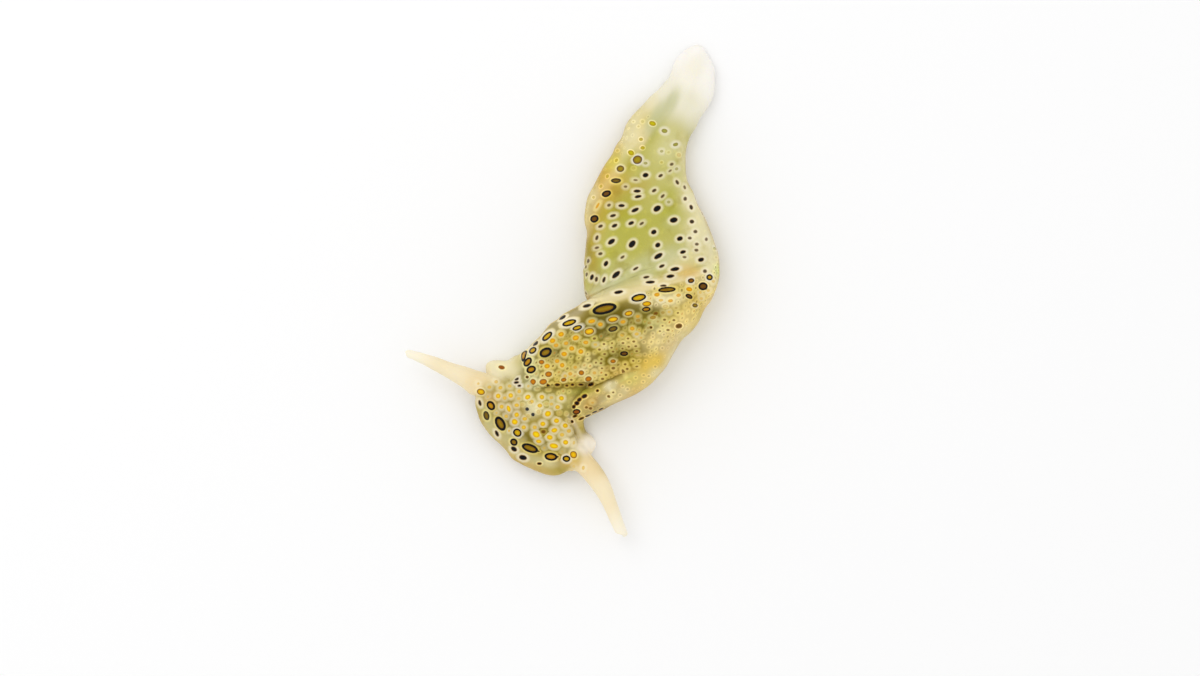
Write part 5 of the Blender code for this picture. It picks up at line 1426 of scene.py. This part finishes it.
colour = mixed(spots, in_ring, given.outputs["Ground"], ring_colour)
past_rim = soft_step(spots, edge, rim, sum_of(spots, rim, 0.06))
in_rim = sum_of(spots, sum_of(spots, 1.0, past_rim, "SUBTRACT"),
                soft_step(spots, rim, 0.0, 0.03), "MULTIPLY")
in_rim = sum_of(spots, in_rim, fade, "MULTIPLY")
colour = mixed(spots, in_rim, colour, rim_colour)
in_middle = sum_of(spots, 1.0, soft_step(spots, edge, -0.04, 0.03), "SUBTRACT")
in_middle = sum_of(spots, in_middle, fade, "MULTIPLY")
deepened = mixed(spots, soft_step(spots, edge, -0.26, -0.04), middles.outputs["Color"],
                 mixed(spots, 1.0, middles.outputs["Color"], MIDDLE_SHADE, "MULTIPLY"))
colour = mixed(spots, in_middle, colour, deepened)
spots.links.new(colour, result.inputs["Colour"])

# Mottling: soft uneven tone, greener and darker here, paler and yellower there.
mottle, given, result = group(
    "flesh_mottling",
    [("Colour", "NodeSocketColor", (0.5, 0.5, 0.3, 1)), ("Position", "NodeSocketVector", (0, 0, 0)),
     ("Amount", "NodeSocketFloat", 0.5)],
    [("Colour", "NodeSocketColor")])
position = given.outputs["Position"]
dark_share = sum_of(mottle, soft_step(mottle, noise(mottle, position, 1.6, 3.0), 0.5, 0.75),
                    given.outputs["Amount"], "MULTIPLY")
pale_share = sum_of(mottle, soft_step(mottle, noise(mottle, position, 0.7, 4.0), 0.52, 0.8),
                    given.outputs["Amount"], "MULTIPLY")
toned = mixed(mottle, dark_share, given.outputs["Colour"], MOTTLE_DARK, "MULTIPLY")
paler = mixed(mottle, 1.0, toned, MOTTLE_PALE, "MULTIPLY")
toned = mixed(mottle, pale_share, toned, paler)
mottle.links.new(toned, result.inputs["Colour"])

flesh = bpy.data.materials.new("slug_skin")
flesh.use_nodes = True
tree = flesh.node_tree
shader = tree.nodes["Principled BSDF"]
where = tree.nodes.new("ShaderNodeTexCoord").outputs["Object"]


def kept(name):
    """Return a node that reads a value stored in the skin."""
    node = tree.nodes.new("ShaderNodeAttribute")
    node.attribute_name = name
    return node


mottling = tree.nodes.new("ShaderNodeGroup")
mottling.node_tree = mottle
tree.links.new(kept("ground_colour").outputs["Color"], mottling.inputs["Colour"])
tree.links.new(where, mottling.inputs["Position"])
tree.links.new(kept("mottling").outputs["Fac"], mottling.inputs["Amount"])
marks = tree.nodes.new("ShaderNodeGroup")
marks.node_tree = spots
tree.links.new(mottling.outputs["Colour"], marks.inputs["Ground"])
tree.links.new(kept("spot_form").outputs["Vector"], marks.inputs["Form"])
tree.links.new(kept("spot_look").outputs["Vector"], marks.inputs["Look"])
wobble = sum_of(tree, sum_of(tree, noise(tree, where, 0.35, 2.0), -0.5), 0.06, "MULTIPLY")
tree.links.new(wobble, marks.inputs["Wobble"])
tree.links.new(marks.outputs["Colour"], shader.inputs["Base Color"])
# Light goes a little way into the flesh, farthest in red.
shader.inputs["Subsurface Weight"].default_value = 0.12
shader.inputs["Subsurface Radius"].default_value = (1.0, 0.8, 0.4)
shader.inputs["Subsurface Scale"].default_value = 0.0004
shader.inputs["Specular IOR Level"].default_value = 0.12
# The moist surface shines more in some places than in others, and is finely grained.
gloss = sum_of(tree, sum_of(tree, noise(tree, where, 0.5, 3.0), 0.2, "MULTIPLY"), 0.3)
tree.links.new(gloss, shader.inputs["Roughness"])
grain = tree.nodes.new("ShaderNodeBump")
grain.inputs["Distance"].default_value = 0.00006
grain.inputs["Strength"].default_value = 0.5
tree.links.new(noise(tree, where, 0.16, 3.0), grain.inputs["Height"])
tree.links.new(grain.outputs["Normal"], shader.inputs["Normal"])
melted.materials.append(flesh)


# The eyes are two black beads sunk in the skin on the back of the head, wet like all the rest.
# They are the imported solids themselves, and only get their finish here.
eye_black = bpy.data.materials.new("eye_black")
eye_black.use_nodes = True
eye_shader = eye_black.node_tree.nodes["Principled BSDF"]
eye_shader.inputs["Base Color"].default_value = (0.004, 0.004, 0.006, 1)
eye_shader.inputs["Roughness"].default_value = 0.12
for name in ("eye_right", "eye_left"):
    bead = bpy.data.objects[name].data
    bead.materials.clear()
    bead.materials.append(eye_black)


# The picture is taken on a sheet of plain white paper, in soft studio light from above, with a
# camera that looks straight down. Sizes are in metres.
FLOOR_REACH = 0.6
FRAME_WIDTH = 0.120
FRAME_CENTRE = (0.00375, -0.0047)
FRAME_LEVEL = 0.003
floor_mesh = bpy.data.meshes.new("floor")
floor_corners = [(-FLOOR_REACH, -FLOOR_REACH, 0), (FLOOR_REACH, -FLOOR_REACH, 0),
                 (FLOOR_REACH, FLOOR_REACH, 0), (-FLOOR_REACH, FLOOR_REACH, 0)]
floor_mesh.from_pydata(floor_corners, [], [(0, 1, 2, 3)])
floor = bpy.data.objects.new("floor", floor_mesh)
bpy.context.scene.collection.objects.link(floor)
paper = bpy.data.materials.new("white_paper")
paper.use_nodes = True
paper_shader = paper.node_tree.nodes["Principled BSDF"]
paper_shader.inputs["Base Color"].default_value = (0.94, 0.94, 0.94, 1)
paper_shader.inputs["Roughness"].default_value = 0.9
floor_mesh.materials.append(paper)

world = bpy.data.worlds.new("pale_room")
bpy.context.scene.world = world
world.use_nodes = True
room_light = world.node_tree.nodes["Background"]
room_light.inputs["Color"].default_value = (1, 1, 1, 1)
room_light.inputs["Strength"].default_value = 0.925
panel = bpy.data.lights.new("soft_panel", "AREA")
panel.shape = "RECTANGLE"
panel.size = 0.3
panel.size_y = 0.3
panel.energy = 0.30
lamp = bpy.data.objects.new("soft_panel", panel)
lamp.location = (-0.15, 0.15, 0.35)
lamp.rotation_euler = (Vector((0, 0, 0)) - lamp.location).to_track_quat("-Z", "Y").to_euler()
bpy.context.scene.collection.objects.link(lamp)

camera = bpy.data.cameras.new("camera")
camera.lens = 200
camera.sensor_width = 36
viewer = bpy.data.objects.new("camera", camera)
camera_height = FRAME_LEVEL + FRAME_WIDTH * camera.lens / camera.sensor_width
viewer.location = (*FRAME_CENTRE, camera_height)
bpy.context.scene.collection.objects.link(viewer)
bpy.context.scene.camera = viewer
bpy.context.scene.view_settings.view_transform = "Standard"
